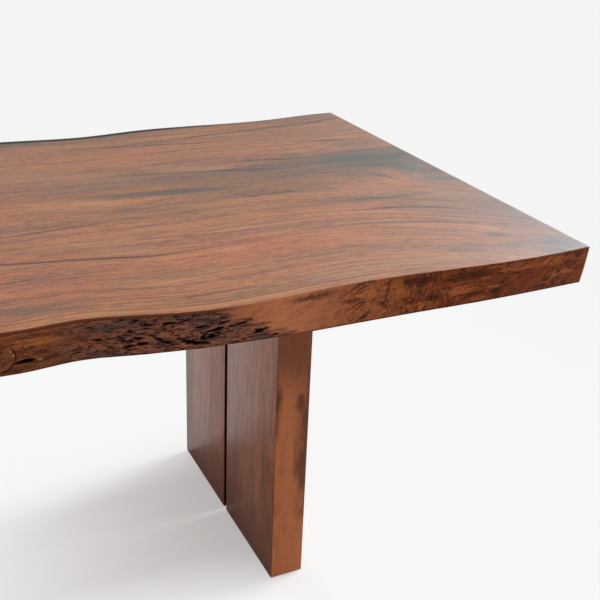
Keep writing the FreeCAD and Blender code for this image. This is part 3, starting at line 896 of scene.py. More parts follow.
# Pale streaks, written the same way
PALE_STREAKS = [
    (0.381, -0.378, 0.000, 0.00, 0.120, 0.0060, 0.75),
    (0.280, -0.445, -0.036, 0.00, 0.230, 0.0050, 0.60),
    (0.780, -0.402, -0.312, 0.00, 0.060, 0.0055, 0.80),
    (0.343, 0.012, -0.078, 0.00, 0.090, 0.0100, 0.75),
    (0.496, -0.055, -0.025, 0.00, 0.045, 0.0090, 0.75),
    (0.500, -0.160, -0.100, 0.00, 0.200, 0.0450, 0.32),
    (0.790, -0.445, -0.150, 0.00, 0.190, 0.0300, 0.62),
    (0.310, -0.190, -0.100, 0.00, 0.170, 0.0350, 0.36),
    (0.330, -0.276, -0.150, 0.00, 0.140, 0.0070, 0.50),
    (0.930, -0.330, -0.400, 0.00, 0.120, 0.0060, 0.35),
    (0.600, 0.148, -0.300, 0.00, 0.130, 0.0400, 0.62),
    (0.370, 0.155, -0.350, 0.00, 0.160, 0.0700, 0.42),
    (0.325, 0.005, -0.300, 0.00, 0.120, 0.0450, 0.55),
    (0.805, -0.256, -0.360, 0.00, 0.130, 0.0360, 0.66),
    (0.630, -0.235, -0.360, 0.00, 0.170, 0.0550, 0.52),
    (0.360, -0.250, -0.370, 0.00, 0.090, 0.0500, 0.56),
    (0.490, -0.275, -0.360, 0.00, 0.080, 0.0360, 0.48),
    (0.650, -0.452, -0.300, 0.00, 0.100, 0.0340, 0.60),
    (-0.500, -0.330, 0.050, 0.00, 0.240, 0.0060, 0.60),
]
STREAK_CORE = 0.3


def streak_mask(wood, along, across, streak):
    """How much of one streak lies at a place on the top."""
    x, y, slope, bend, half_length, half_width, strength = streak
    run = wood.less(along, x)
    line = wood.add(wood.times(run, slope), y)
    if bend:
        line = wood.add(line, wood.times(run, run, bend))
    off = wood.size(wood.less(across, line))
    ends = wood.fade(wood.size(run), half_length, half_length * STREAK_CORE)
    return wood.times(wood.fade(off, half_width, 0.0), ends, strength)


print(len(STREAKS), "dark and", len(PALE_STREAKS), "pale streaks placed by hand")

# %% [markdown]
# ## Clouds
#
# Heartwood is darker in clouds with soft borders, and redder in front of them. Each cloud is an oval that
# may slope, full in its core and fading out past its rim.

# %% Clouds
# Clouds of dark heartwood: middle along and across, slope, half length, half width and strength
HEART_CLOUDS = [
    (0.600, 0.085, -0.100, 0.360, 0.072, 0.56),
    (0.490, 0.026, -0.130, 0.230, 0.023, 0.85),
    (0.470, -0.075, -0.100, 0.130, 0.050, 0.22),
    (0.720, -0.010, -0.050, 0.180, 0.055, 0.44),
    (0.840, 0.080, 0.000, 0.240, 0.095, 0.66),
    (0.995, 0.100, 0.030, 0.200, 0.090, 1.00),
    (0.935, 0.012, -0.150, 0.110, 0.045, 0.85),
    (0.845, 0.170, 0.000, 0.035, 0.022, 0.60),
    (0.950, 0.370, 0.050, 0.220, 0.120, 0.24),
    (0.880, -0.135, -0.100, 0.180, 0.024, 0.48),
    (1.062, -0.076, -0.300, 0.060, 0.028, 0.85),
    (1.110, -0.250, 0.000, 0.110, 0.290, 0.50),
    (1.062, -0.270, -0.500, 0.055, 0.030, 0.85),
    (1.055, -0.462, 0.000, 0.062, 0.044, 0.82),
    (0.980, -0.384, -0.300, 0.024, 0.013, 0.85),
    (0.986, -0.438, 0.000, 0.055, 0.020, 0.65),
    (0.893, -0.420, -0.200, 0.050, 0.020, 0.70),
    (0.860, -0.463, 0.000, 0.110, 0.022, 0.20),
    (0.407, -0.046, -0.100, 0.028, 0.011, 0.60),
    (0.509, -0.096, -0.300, 0.022, 0.013, 0.50),
    (0.146, -0.403, -0.150, 0.100, 0.018, 0.55),
    (0.170, -0.378, -0.300, 0.090, 0.026, 0.26),
    (0.300, 0.460, 0.000, 0.360, 0.065, 0.80),
    (1.055, 0.035, -0.200, 0.100, 0.095, 0.95),
    (1.030, 0.205, 0.000, 0.085, 0.042, 0.52),
    (0.985, -0.235, -0.400, 0.105, 0.080, 0.46),
    (0.225, -0.345, -0.300, 0.130, 0.042, 0.24),
    (0.375, -0.347, -0.300, 0.070, 0.026, 0.24),
    (0.520, 0.375, -0.300, 0.080, 0.024, 0.26),
    (0.790, 0.402, 0.000, 0.060, 0.024, 0.30),
    (-0.250, 0.070, 0.050, 0.420, 0.055, 0.60),
    (-0.820, 0.020, 0.050, 0.300, 0.055, 0.60),
]
# Redder wood in front of the heart, written the same way
WARM_CLOUDS = [
    (0.530, -0.262, 0.050, 0.420, 0.075, 0.80),
    (0.185, -0.330, -0.300, 0.120, 0.075, 1.00),
]
CLOUD_RIM, CLOUD_CORE = 1.40, 0.30


def oval_distance(wood, spot, x, y, half_length, half_width):
    """Distance from the middle of an oval on a flat surface, 1 on its rim."""
    scale = (1 / half_length, 1 / half_width, 0.0)
    shift = (-x / half_length, -y / half_width, 0.0)
    return wood.length(wood.stretch(spot, scale, shift))


def cloud_mask(wood, along, across, cloud):
    """How much of one cloud lies at a place on the top."""
    x, y, slope, half_length, half_width, strength = cloud
    spot = wood.join(along, wood.math("MULTIPLY_ADD", along, -slope, across))
    distance = oval_distance(wood, spot, x, y - slope * x, half_length, half_width)
    return wood.times(wood.fade(distance, CLOUD_RIM, CLOUD_CORE), strength)


def most_of(wood, mask, marks, along, across, start=0.0):
    """The strongest of many streaks or clouds at a place on the top."""
    strongest = start
    for mark in marks:
        strongest = wood.most(strongest, mask(wood, along, across, mark))
    return strongest


print(len(HEART_CLOUDS), "dark clouds and", len(WARM_CLOUDS), "warm ones placed by hand")

# %% [markdown]
# ## Knots of the top
#
# A knot is the root of a branch, and the grain flows round it. It could be a dark spot, but what gives it
# away is the bend of the lines beside it, so a knot is an oval inside which the grain is pushed aside.

# %% Knots of the top
# Knots that bend the grain: place along and across, radius and how far they push the grain aside
KNOTS = [
    (0.415, -0.030, 0.040, 0.024),
    (1.062, -0.072, 0.050, 0.030),
    (0.980, -0.384, 0.030, 0.022),
    (0.845, 0.175, 0.040, 0.018),
    (0.905, -0.428, 0.050, -0.018),
    (-0.480, -0.120, 0.055, 0.025),
    (-0.900, 0.260, 0.050, 0.022),
]
KNOT_RIM = 1.6


def knot_push(wood, spot, knot):
    """How far one knot pushes the grain aside at a place on the top."""
    x, y, radius, push = knot
    distance = oval_distance(wood, spot, x, y, 2 * radius, radius)
    return wood.times(wood.fade(distance, KNOT_RIM, 0.0), push)


print(len(KNOTS), "knots placed by hand")

# %% [markdown]
# ## Growth
#
# Wood has its own directions: along the tree, outwards from the pith, and round it. A place on the table
# is turned into these three, and all grain is drawn in them. The pith lies deep in the slab, so its rings
# show as arcs on the sawn ends and as lines on the top. Towards the right end the trunk swept to one side,
# and the lines wander more.

# %% Growth
PITH_PLACE = (0.07, 0.705)
SWEEP_START = 0.66
SWEEP_BEND = 0.9
SWEEP_BACK, SWEEP_FRONT = 0.10, -0.10
SWAY_WIDTH = 0.030
CALM_RIPPLE = 0.004
LIVELY_RIPPLE = 0.010
LIVELY_START, LIVELY_END = 0.55, 0.95
KNOT_ROOT = slab_low.z + 0.030
PITH_FAR, PITH_NEAR = 0.09, 0.01
ROUND_SHARE = 0.15
PITH_SPREAD = 3.0
STREAK_WAVER = 0.020


def growth_of(wood, grain, place):
    """A place as along the tree, out from the pith and round it, and how far the streaks waver there."""
    along, across, level = wood.split(grain)
    real_along, real_across = wood.split(place)[:2]
    spot = wood.join(real_along, real_across)
    sway = wood.centred(wood.noise(wood.stretch(grain, (1.3, 2.0, 2.0)), detail=1.0))
    ripple = wood.centred(wood.noise(wood.stretch(grain, (8.0, 14.0, 14.0)), detail=3.0))
    lively = wood.times(wood.fade(real_along, LIVELY_START, LIVELY_END), LIVELY_RIPPLE)
    lively = wood.add(CALM_RIPPLE, lively)
    wander = wood.add(wood.times(sway, SWAY_WIDTH), wood.times(ripple, lively))
    push = 0.0
    for knot in KNOTS:
        push = wood.add(push, knot_push(wood, spot, knot))
    wander = wood.add(wander, wood.times(push, wood.fade(level, KNOT_ROOT, slab_high.z)))
    run = wood.most(wood.less(real_along, SWEEP_START), 0.0)
    sweep = wood.times(run, run, SWEEP_BEND, wood.fade(real_across, SWEEP_BACK, SWEEP_FRONT))
    line = wood.add(across, wander, sweep)
    from_pith = wood.less(line, PITH_PLACE[0])
    under = wood.less(level, PITH_PLACE[1])
    ring = wood.math("SQRT", wood.add(wood.times(from_pith, from_pith), wood.times(under, under)))
    over_pith = wood.fade(wood.size(from_pith), PITH_FAR, PITH_NEAR)
    round_pith = wood.add(wood.times(line, ROUND_SHARE), wood.times(from_pith, over_pith, PITH_SPREAD))
    return wood.join(along, ring, round_pith), wood.times(ripple, STREAK_WAVER)


print("pith", round(1000 * (slab_high.z - PITH_PLACE[1])), "mm under the top")

# %% [markdown]
# ## Colour of the top
#
# The top is built up as a finisher sees it. The plain wood comes first, with grain in five sizes that
# each darken some lines and lighten others. Over it lie the clouds and streaks, broken up by the same
# grain so that they belong to the wood.

# %% Top colour
# Grain from broad to fine: repeats per metre along the tree, outwards and round it, place in the noise,
# detail, roughness, and how much it darkens and lightens
GRAIN = {
    "bands": ((1.0, 30.0, 10.0), (0.0, 0.0, 0.0), 3.0, 0.60, 0.20, 0.16),
    "threads": ((2.2, 66.0, 22.0), (3.0, 1.0, 0.0), 2.0, 0.60, 0.38, 0.34),
    "lines": ((1.4, 120.0, 40.0), (0.0, 0.0, 0.0), 3.0, 0.70, 0.46, 0.39),
    "dashes": ((14.0, 190.0, 60.0), (0.0, 0.0, 0.0), 3.0, 0.65, 0.48, 0.46),
    "flecks": ((55.0, 270.0, 80.0), (0.0, 0.0, 0.0), 2.0, 0.65, 0.52, 0.47),
}
GRAIN_DARK = (0.53, 0.66)
GRAIN_PALE = (0.46, 0.33)
LOOSE_STREAKS = 0.55
PALE_STRENGTH = 0.8


def grained_wood(wood, growth):
    """The plain wood with its grain, and the noises of the grain by name."""
    tone = wood.noise(wood.stretch(growth, (0.8, 9.0, 5.0)), detail=2.0)
    figures = {}
    for name, values in GRAIN.items():
        repeats, shift, detail, rough = values[:4]
        figures[name] = wood.noise(wood.stretch(growth, repeats, shift), detail=detail, rough=rough)
    shade = wood.ramp(tone, (0.30, BROWN), (0.42, ORANGE), (0.49, ORANGE), (0.58, MAUVE))
    for name, figure in figures.items():
        darken, lighten = GRAIN[name][4:]
        shade = wood.blend(wood.times(wood.fade(figure, *GRAIN_DARK), darken), shade, SLATE)
        shade = wood.blend(wood.times(wood.fade(figure, *GRAIN_PALE), lighten), shade, TAN)
    return shade, figures


def marked_wood(wood, shade, growth, figures, along, across):
    """The same with its warm and dark clouds, and its pale and dark streaks."""
    warm = most_of(wood, cloud_mask, WARM_CLOUDS, along, across)
    shade = wood.blend(warm, shade, WARM_TINT, kind="MULTIPLY")
    heart = most_of(wood, cloud_mask, HEART_CLOUDS, along, across)
    strands = wood.stretch(growth, (2.4, 40.0, 12.0), (1.0, 7.0, 0.0))
    strands = wood.noise(strands, detail=4.0, rough=0.62)
    heart = wood.times(heart, wood.fade(strands, 0.12, 0.60))
    shade = wood.blend(heart, shade, OLIVE)
    loose = wood.noise(wood.stretch(growth, (1.5, 60.0, 12.0), (5.0, 2.0, 0.0)), detail=4.0, rough=0.62)
    streaks = wood.times(wood.fade(loose, 0.64, 0.80), LOOSE_STREAKS)
    streaks = most_of(wood, streak_mask, STREAKS, along, across, streaks)
    pale = most_of(wood, streak_mask, PALE_STREAKS, along, across)
    broken = wood.add(0.55, wood.times(wood.fade(figures["dashes"], 0.38, 0.56), 0.45))
    pale = wood.times(pale, wood.fade(figures["lines"], 0.62, 0.46), PALE_STRENGTH)
    shade = wood.blend(pale, shade, TAN)
    return wood.blend(wood.times(streaks, broken), shade, INK)


print("grain in", len(GRAIN), "sizes:", ", ".join(GRAIN))

# %% [markdown]
# ## Rims of the top
#
# Next to the bark the youngest wood, the sapwood, is paler. Thin dark lines run beside it and follow the
# waves of the edge. The back edge has a dark rim that is whole right of the middle of the table, patchy
# left of it and gone at the right end. All of them read the straightened grain, in which a wavy edge is a
# straight line.

# %% Rims of the top
# Thin dark lines along the live edges: place across in the straightened wood, half width and strength
RIM_LINES = [(-0.456, 0.0036, 0.55), (-0.444, 0.0026, 0.28), (0.436, 0.0040, 0.35)]
SAP_START, SAP_FULL = -0.444, -0.466
SAP_STRENGTH = 0.68
BACK_RIM_START, BACK_RIM_FULL = 0.453, 0.463
DULL_RIM_START, DULL_RIM_FULL = 0.449, 0.460
RIM_STRENGTH = 0.96
FRAYED = 0.010


def rimmed_wood(wood, shade, grain, figures, along):
    """The wood with its sapwood and its dark rims, and how much of the dull back rim lies at a place."""
    straight = wood.add(wood.split(grain)[1], wood.times(wood.centred(figures["bands"]), FRAYED))
    sap = wood.times(wood.fade(straight, SAP_START, SAP_FULL), wood.fade(figures["lines"], 0.66, 0.42))
    sap = wood.times(sap, wood.fade(along, 0.70, 0.48), wood.fade(along, 0.02, 0.24))
    shade = wood.blend(wood.times(sap, SAP_STRENGTH), shade, SAPWOOD)
    patchy = wood.noise(wood.stretch(grain, (6.0, 1.0, 1.0)), detail=2.0)
    patchy = wood.most(wood.fade(patchy, 0.46, 0.58), wood.fade(along, 0.06, 0.24))
    back_rim = wood.times(patchy, wood.fade(along, 0.98, 0.62))
    rims = wood.times(wood.fade(straight, BACK_RIM_START, BACK_RIM_FULL), back_rim)
    for middle, half_width, strength in RIM_LINES:
        off = wood.size(wood.less(straight, middle))
        line = wood.times(wood.fade(off, half_width, 0.0), wood.fade(along, 0.96, 0.60), strength)
        rims = wood.most(rims, line)
    shade = wood.blend(wood.times(rims, RIM_STRENGTH), shade, INK)
    return shade, wood.times(wood.fade(straight, DULL_RIM_START, DULL_RIM_FULL), back_rim)


def top_colour(wood, growth, grain, place, waver):
    """The colour of the top, the two sizes of grain that gloss and pores follow, and its dull back rim."""
    along, across = wood.split(place)[:2]
    across = wood.add(across, waver)
    shade, figures = grained_wood(wood, growth)
    shade = marked_wood(wood, shade, growth, figures, along, across)
    shade, back_rim = rimmed_wood(wood, shade, grain, figures, along)
    return shade, figures["lines"], figures["dashes"], back_rim


print(len(RIM_LINES), "lines along the live edges")

# %% [markdown]
# ## Marks on the front edge
#
# A few light and dark curls of the front edge are large enough to be recognised, and so are the pale
# splinters that stand in its pits, and a painted highlight on the rim of the knot. They are ovals, listed
# one by one like the clouds of the top.

# %% Edge marks
# Light and dark figure on the front edge: place along and up, half length and half height
EDGE_LIGHTS = [(0.761, 0.700, 0.030, 0.010), (0.940, 0.748, 0.060, 0.008), (1.020, 0.745, 0.050, 0.010),
               (0.830, 0.716, 0.040, 0.011), (1.040, 0.718, 0.030, 0.008), (0.720, 0.738, 0.016, 0.018),
               (0.655, 0.738, 0.030, 0.012), (0.160, 0.738, 0.045, 0.009)]
EDGE_DARKS = [(0.697, 0.726, 0.004, 0.050), (0.787, 0.712, 0.026, 0.008), (0.909, 0.707, 0.020, 0.008),
              (0.756, 0.747, 0.045, 0.009), (0.857, 0.745, 0.050, 0.010), (1.074, 0.750, 0.012, 0.009),
              (0.565, 0.750, 0.050, 0.007), (0.635, 0.730, 0.030, 0.004), (0.188, 0.747, 0.009, 0.004),
              (0.152, 0.752, 0.006, 0.002), (0.146, 0.729, 0.012, 0.003), (0.190, 0.706, 0.060, 0.008),
              (0.108, 0.740, 0.008, 0.003), (0.104, 0.732, 0.008, 0.003), (0.125, 0.696, 0.040, 0.006),
              (0.098, 0.720, 0.008, 0.004), (0.108, 0.710, 0.007, 0.003), (0.168, 0.716, 0.020, 0.004)]
# Pale splinters in the pits, and last two on the knot's rim that are a painted highlight, written the same
# way
SPLINTERS_AND_KNOT_GLINT = [(0.405, 0.712, 0.006, 0.0026), (0.399, 0.708, 0.004, 0.0014), (0.412, 0.709, 0.003, 0.0012),
             (0.160, 0.706, 0.005, 0.0022), (0.120, 0.7285, 0.002, 0.0022), (0.1235, 0.722, 0.0014, 0.004)]
MARK_RIM, MARK_CORE = 1.3, 0.2


def edge_marks(wood, place, marks):
    """The strongest of some ovals on the front edge, each by its place, half length and half height."""
    axes = wood.split(place)
    spot = wood.join(axes[0], axes[2])
    strongest = 0.0
    for x, z, half_length, half_height in marks:
        reach = oval_distance(wood, spot, x, z, half_length, half_height)
        strongest = wood.most(strongest, wood.fade(reach, MARK_RIM, MARK_CORE))
    return strongest


print(len(EDGE_LIGHTS), "light curls,", len(EDGE_DARKS), "dark curls and", len(SPLINTERS_AND_KNOT_GLINT), "splinters")

# %% [markdown]
# ## Figure of the smooth edge
#
# Where the bark is gone, the edge shows wood that grew in waves, and it shines in curls. Their direction
# changes along the edge: flowing level near the middle of the table, then rising, upright, swirling and
# slanted. One noise per direction is stretched and turned, and they are faded into one another. Two of
# the noises also fray the rims of the marks.

# %% Edge figure
CURL_MIDDLE = (0.82, -0.48, 0.72)
RISING_TURN = 0.40
SLANTED_TURN = 0.75


def edge_figure(wood, place, along):
    """The curls of the smooth edge, and the two noises that fray the marks on it."""
    burl = wood.noise(wood.stretch(place, (30.0, 30.0, 60.0)), detail=6.0, rough=0.74, distort=1.4)
    rising = wood.stretch(wood.turn(place, CURL_MIDDLE, RISING_TURN), (24.0, 24.0, 130.0))
    rising = wood.noise(rising, detail=5.0, rough=0.74, distort=1.0)
    upright = wood.noise(wood.stretch(place, (110.0, 110.0, 34.0)), detail=5.0, rough=0.74, distort=2.2)
    slanted = wood.stretch(wood.turn(place, CURL_MIDDLE, SLANTED_TURN), (26.0, 26.0, 84.0))
    slanted = wood.noise(slanted, detail=6.0, rough=0.76, distort=2.6)
    swirl = wood.stretch(place, (20.0, 20.0, 64.0), (2.0, 0.0, 3.0))
    swirl = wood.noise(swirl, detail=6.0, rough=0.74, distort=2.8)
    flow = wood.noise(wood.stretch(place, (11.0, 11.0, 110.0)), detail=5.0, rough=0.70, distort=0.7)
    where = wood.add(along, wood.times(wood.centred(burl), 0.25))
    figure = wood.between(wood.fade(where, 0.66, 0.73), rising, upright)
    figure = wood.between(wood.fade(where, 0.78, 0.84), figure, swirl)
    figure = wood.between(wood.fade(where, 0.93, 0.99), figure, slanted)
    figure = wood.between(0.25, figure, burl)
    figure = wood.between(wood.times(wood.fade(along, 0.50, 0.38), 0.80), figure, flow)
    return figure, burl, slanted


def curly_wood(wood, place, along):
    """The colour of the smooth edge: its tone, its curls and glints, and the marks placed by hand."""
    figure, burl, slanted = edge_figure(wood, place, along)
    speck = wood.noise(wood.stretch(place, (130.0, 130.0, 260.0)), detail=3.0, rough=0.65)
    ragged = wood.stretch(wood.join(burl, 0.0, slanted), (0.05, 0.0, 0.025), (-0.025, 0.0, -0.0125))
    marked = wood.moved(place, ragged)
    shade = wood.ramp(wood.times(along, 1 / slab_high.x), *EDGE_TONES)
    right = wood.fade(along, 0.56, 0.68)
    left = wood.fade(along, 0.42, 0.34)
    curly = wood.add(0.24, wood.times(right, 0.63), wood.times(left, 0.34))
    shade = wood.blend(wood.times(edge_marks(wood, marked, EDGE_LIGHTS), 0.62), shade, GLINT)
    shade = wood.blend(wood.times(wood.fade(figure, 0.50, 0.57), curly), shade, CURL)
    glints = wood.add(0.28, wood.times(right, 0.32))
    shade = wood.blend(wood.times(wood.fade(figure, 0.47, 0.38), glints), shade, GLINT)
    shade = wood.blend(wood.times(wood.fade(speck, 0.50, 0.72), wood.times(curly, 0.8)), shade, CURL)
    return wood.blend(wood.times(edge_marks(wood, marked, EDGE_DARKS), 0.75), shade, CURL)


curl_turns = [round(math.degrees(turn)) for turn in (RISING_TURN, SLANTED_TURN)]
print("curls turned by", curl_turns, "degrees")

# %% [markdown]
# ## Bark and lip
#
# Bark is a grey and rust red skin with a brown crust. Its thin cracks and its pits are painted black, as
# painted shade, because no light gets into them. Above it, right under the top, the bare rim is a brown lip
# with a painted shadow line below it. The bark begins below the lip, so the mesh already has a small step
# there, and here the lip gets its colour.

# %% Bark and lip
LIP_START, LIP_FULL = 0.0045, 0.0033
LIP_SHADOW_LINE = 0.0047
LIP_SHADOW_START, LIP_SHADOW_FULL = 0.0018, 0.0004
LIP_WAVER = 0.006
LIP_RIGHT, LIP_LEFT = 0.46, 0.40
FOOT_START, FOOT_FULL = slab_low.z + 0.0045, slab_low.z + 0.0005


def bark_skin(wood, place):
    """The colour of the bark, and the two noises of its crust and its rust."""
    crust = wood.noise(wood.stretch(place, (50.0, 50.0, 210.0)), detail=5.0, rough=0.72)
    rust = wood.noise(wood.stretch(place, (14.0, 14.0, 45.0), (3.0, 0.0, 1.0)), detail=3.0, rough=0.6)
    skin = wood.blend(wood.fade(rust, 0.34, 0.52), BARK_GREY, BARK_RED)
    skin = wood.blend(wood.fade(crust, 0.47, 0.60), skin, BARK_BROWN)
    # The thin cracks of the bark are painted black: painted shade inside the cracks.
    cracks = wood.noise(wood.stretch(place, (60.0, 60.0, 380.0), (0.0, 0.0, 2.0)), detail=3.0, rough=0.6)
    skin = wood.blend(wood.times(wood.fade(cracks, 0.55, 0.64), 0.85), skin, PAINTED_SHADE_BLACK)
    return skin, crust, rust


def edge_colour(wood, place, bark, dark):
    """The colour of the live edges: curly wood, bark, a lip and its painted shadow, a darker foot, painted
    pit shade.
    """
    axes = wood.split(place)
    along, level = axes[0], axes[2]
    shade = curly_wood(wood, place, along)
    skin, crust, rust = bark_skin(wood, place)
    shade = wood.blend(bark, shade, skin)
    uneven = wood.times(wood.centred(rust), LIP_WAVER)
    below = wood.add(wood.less(slab_high.z, level), uneven)
    lipped = wood.fade(along, LIP_RIGHT, LIP_LEFT)
    shade = wood.blend(wood.times(wood.fade(below, LIP_START, LIP_FULL), lipped), shade, LIP)
    # The dark line under the lip is a painted shadow, cast by the rim of the top.
    painted_lip_shadow = wood.fade(wood.size(wood.less(below, LIP_SHADOW_LINE)), LIP_SHADOW_START, LIP_SHADOW_FULL)
    shade = wood.blend(wood.times(painted_lip_shadow, lipped, 0.45), shade, PAINTED_SHADE_BLACK)
    foot = wood.fade(level, FOOT_START, FOOT_FULL)
    shade = wood.blend(wood.times(foot, 0.7), shade, CURL)
    # Pits, large pits and the crack by the knot are painted black: painted shade where no light gets in.
    shade = wood.blend(wood.fade(dark, 0.10, 0.55), shade, PAINTED_SHADE_BLACK)
    # Pale splinters, and a painted highlight on the upper right of the knot's rim.
    shade = wood.blend(wood.times(edge_marks(wood, place, SPLINTERS_AND_KNOT_GLINT), 0.8), shade, SPLINTER_AND_GLINT)
    return shade, crust


print("lip", round(1000 * LIP_START, 1), "mm high")

# %% [markdown]
# ## The whole slab
#
# The colours meet in one material, because a real slab is one piece of wood. Which of them shows follows
# from the side that each vertex keeps and from the way a face points: sideways on the sawn ends, down on
# the underside.
#
# A top like this is oiled or lacquered and shines softly along its grain. The live edges, the bark and
# the underside are duller. Pores and crust are far too fine for the mesh, so they only tilt the light.

# %% Slab wood
TOP_ROUGHNESS = 0.30
WOOD_IOR = 1.45
TOP_SHINE = 0.5
SIDE_DULLNESS = 0.47
PORE_DEPTH = 0.0004
CRUST_HEIGHT = 9.0


def end_and_under(wood, growth, lines, dashes):
    """The colours of the sawn ends, with their rings, and of the planed underside, which has no finish."""
    rings = wood.noise(wood.stretch(growth, (2.0, 130.0, 30.0)), detail=4.0, rough=0.62)
    end = wood.ramp(rings, (0.36, END_DARK), (0.58, END_LIGHT), (0.70, END_DARK))
    end = wood.blend(wood.times(wood.fade(dashes, 0.50, 0.68), 0.4), end, END_DARK)
    under = wood.blend(wood.times(wood.fade(lines, 0.45, 0.66), 0.6), BROWN, END_DARK)
    under = wood.blend(wood.times(wood.fade(dashes, 0.48, 0.68), 0.5), under, END_DARK)
    return end, under


def slab_wood():
    """The material of the slab."""
    wood = Finish("slab_wood")
    grain, place = wood.attribute("grain", "Vector"), wood.place()
    side, bark, dark = wood.attribute("side"), wood.attribute("bark"), wood.attribute("dark")
    facing = wood.split(wood.node("NewGeometry").outputs["True Normal"])
    sawn = wood.fade(wood.size(facing[0]), 0.75, 0.95)
    downward = wood.fade(facing[2], -0.85, -0.97)
    growth, waver = growth_of(wood, grain, place)
    top, lines, dashes, back_rim = top_colour(wood, growth, grain, place, waver)
    edge, crust = edge_colour(wood, place, bark, dark)
    end, under = end_and_under(wood, growth, lines, dashes)
    shade = wood.blend(wood.fade(side, 0.10, 0.45), top, edge)
    shade = wood.blend(downward, wood.blend(sawn, shade, end), under)
    pores = wood.noise(wood.stretch(growth, (45.0, 900.0, 200.0)), detail=1.0)
    height = wood.add(wood.times(dashes, 0.5), wood.times(pores, 0.5),
                      wood.times(crust, bark, CRUST_HEIGHT))
    rough = wood.add(TOP_ROUGHNESS, wood.times(lines, 0.10), wood.times(bark, 0.28), wood.times(dark, 0.15))
    rough = wood.add(rough, wood.times(downward, 0.25))
    dull = wood.most(side, back_rim)
    shine = wood.less(TOP_SHINE, wood.times(dull, SIDE_DULLNESS))
    return wood.surface(Base_Color=shade, Roughness=rough, Normal=wood.bump(height, PORE_DEPTH),
                        IOR=WOOD_IOR, Specular_IOR_Level=shine)


slab = new_object("live_edge_slab", slab_mesh, slab_wood())
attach(slab, "root")
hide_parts("slab_top")
slab_nodes = slab.data.materials[0].node_tree.nodes
print("slab:", len(slab.data.polygons), "faces,", len(slab_nodes), "nodes of wood")

# %% [markdown]
# ## Wood of the legs
#
# The planks are of the same wood, with the grain upright. Their broad faces show straight lines, a little
# slanted, and their narrow faces a cloudy orange with dark bands. The solids could simply be given one
# brown, but a leg stands right in front of the camera, so its bands and specks are listed one by one as on
# the slab.

# %% Plank colours and marks
PLANK_LIGHT = colour(0.415, 0.150, 0.070)
PLANK_MID = colour(0.290, 0.100, 0.047)
PLANK_DARK = colour(0.075, 0.027, 0.017)
PLANK_ORANGE = colour(0.420, 0.138, 0.055)
PLANK_LOW = colour(0.118, 0.029, 0.009)
GAP_SHADE_BLACK = colour(0.006, 0.004, 0.003)

# Dark bands on the front of a leg: place out from the middle of its thickness and up, half sizes
SMUDGES = [(0.046, 0.325, 0.037, 0.165), (0.040, 0.385, 0.016, 0.230), (0.032, 0.268, 0.027, 0.065),
           (0.016, 0.408, 0.012, 0.030), (-0.044, 0.420, 0.018, 0.085), (0.042, 0.170, 0.010, 0.040)]
# Dark specks on its broad faces: place across and up, half width and half height
SPECKS = [(0.075, 0.271, 0.003, 0.010), (0.081, 0.136, 0.003, 0.016), (-0.015, 0.227, 0.003, 0.008),
          (-0.050, 0.430, 0.002, 0.010), (0.082, 0.250, 0.006, 0.230)]
PLANK_MARK_RIM, PLANK_MARK_CORE = 1.25, 0.25


def plank_marks(wood, spot, marks, ragged=0.0):
    """The strongest of some ovals on a plank, each with a ragged rim."""
    strongest = 0.0
    for centre, level, half_width, half_height in marks:
        reach = wood.add(oval_distance(wood, spot, centre, level, half_width, half_height), ragged)
        strongest = wood.most(strongest, wood.fade(reach, PLANK_MARK_RIM, PLANK_MARK_CORE))
    return strongest


print(len(SMUDGES), "bands and", len(SPECKS), "specks on each leg")

# %% [markdown]
# ## Faces of a plank
#
# A broad face is drawn as it looks from the end of the table, and a narrow face as it looks from the
# front. The broad faces are darker towards the floor, painted shade for the light that the shadowed floor
# does not throw back, and darker towards their two sides.

# %% Plank faces
LEG_MIDDLE = (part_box("right_leg_front_plank")[0].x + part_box("right_leg_front_plank")[1].x) / 2
GRAIN_SLANT = 0.22
GRAIN_SWAY = 0.030
BAND_DRIFT = 0.018


def plank_face(wood, y, z, broad, medium, fine):
    """The colour of the broad faces."""
    face = wood.ramp(broad, (0.32, PLANK_MID), (0.52, PLANK_LIGHT), (0.70, PLANK_MID))
    face = wood.blend(wood.times(wood.fade(medium, 0.48, 0.72), 0.62), face, PLANK_DARK)
    face = wood.blend(wood.times(wood.fade(fine, 0.47, 0.66), 0.72), face, PLANK_DARK)
    face = wood.blend(wood.times(wood.fade(fine, 0.44, 0.32), 0.30), face, PLANK_ORANGE)
    face = wood.blend(wood.times(plank_marks(wood, wood.join(y, z), SPECKS), 0.60), face, PLANK_DARK)
    # Darker towards the floor: painted shade, for the light that the shadowed floor does not throw back.
    low = wood.times(wood.fade(z, 0.20, 0.00), 0.76)
    far = wood.times(wood.fade(y, 0.17, 0.255), 0.84)
    near = wood.times(wood.fade(y, -0.180, -0.245), wood.fade(z, 0.36, 0.12), 0.48)
    return wood.blend(wood.most(wood.most(low, far), near), face, PLANK_LOW)


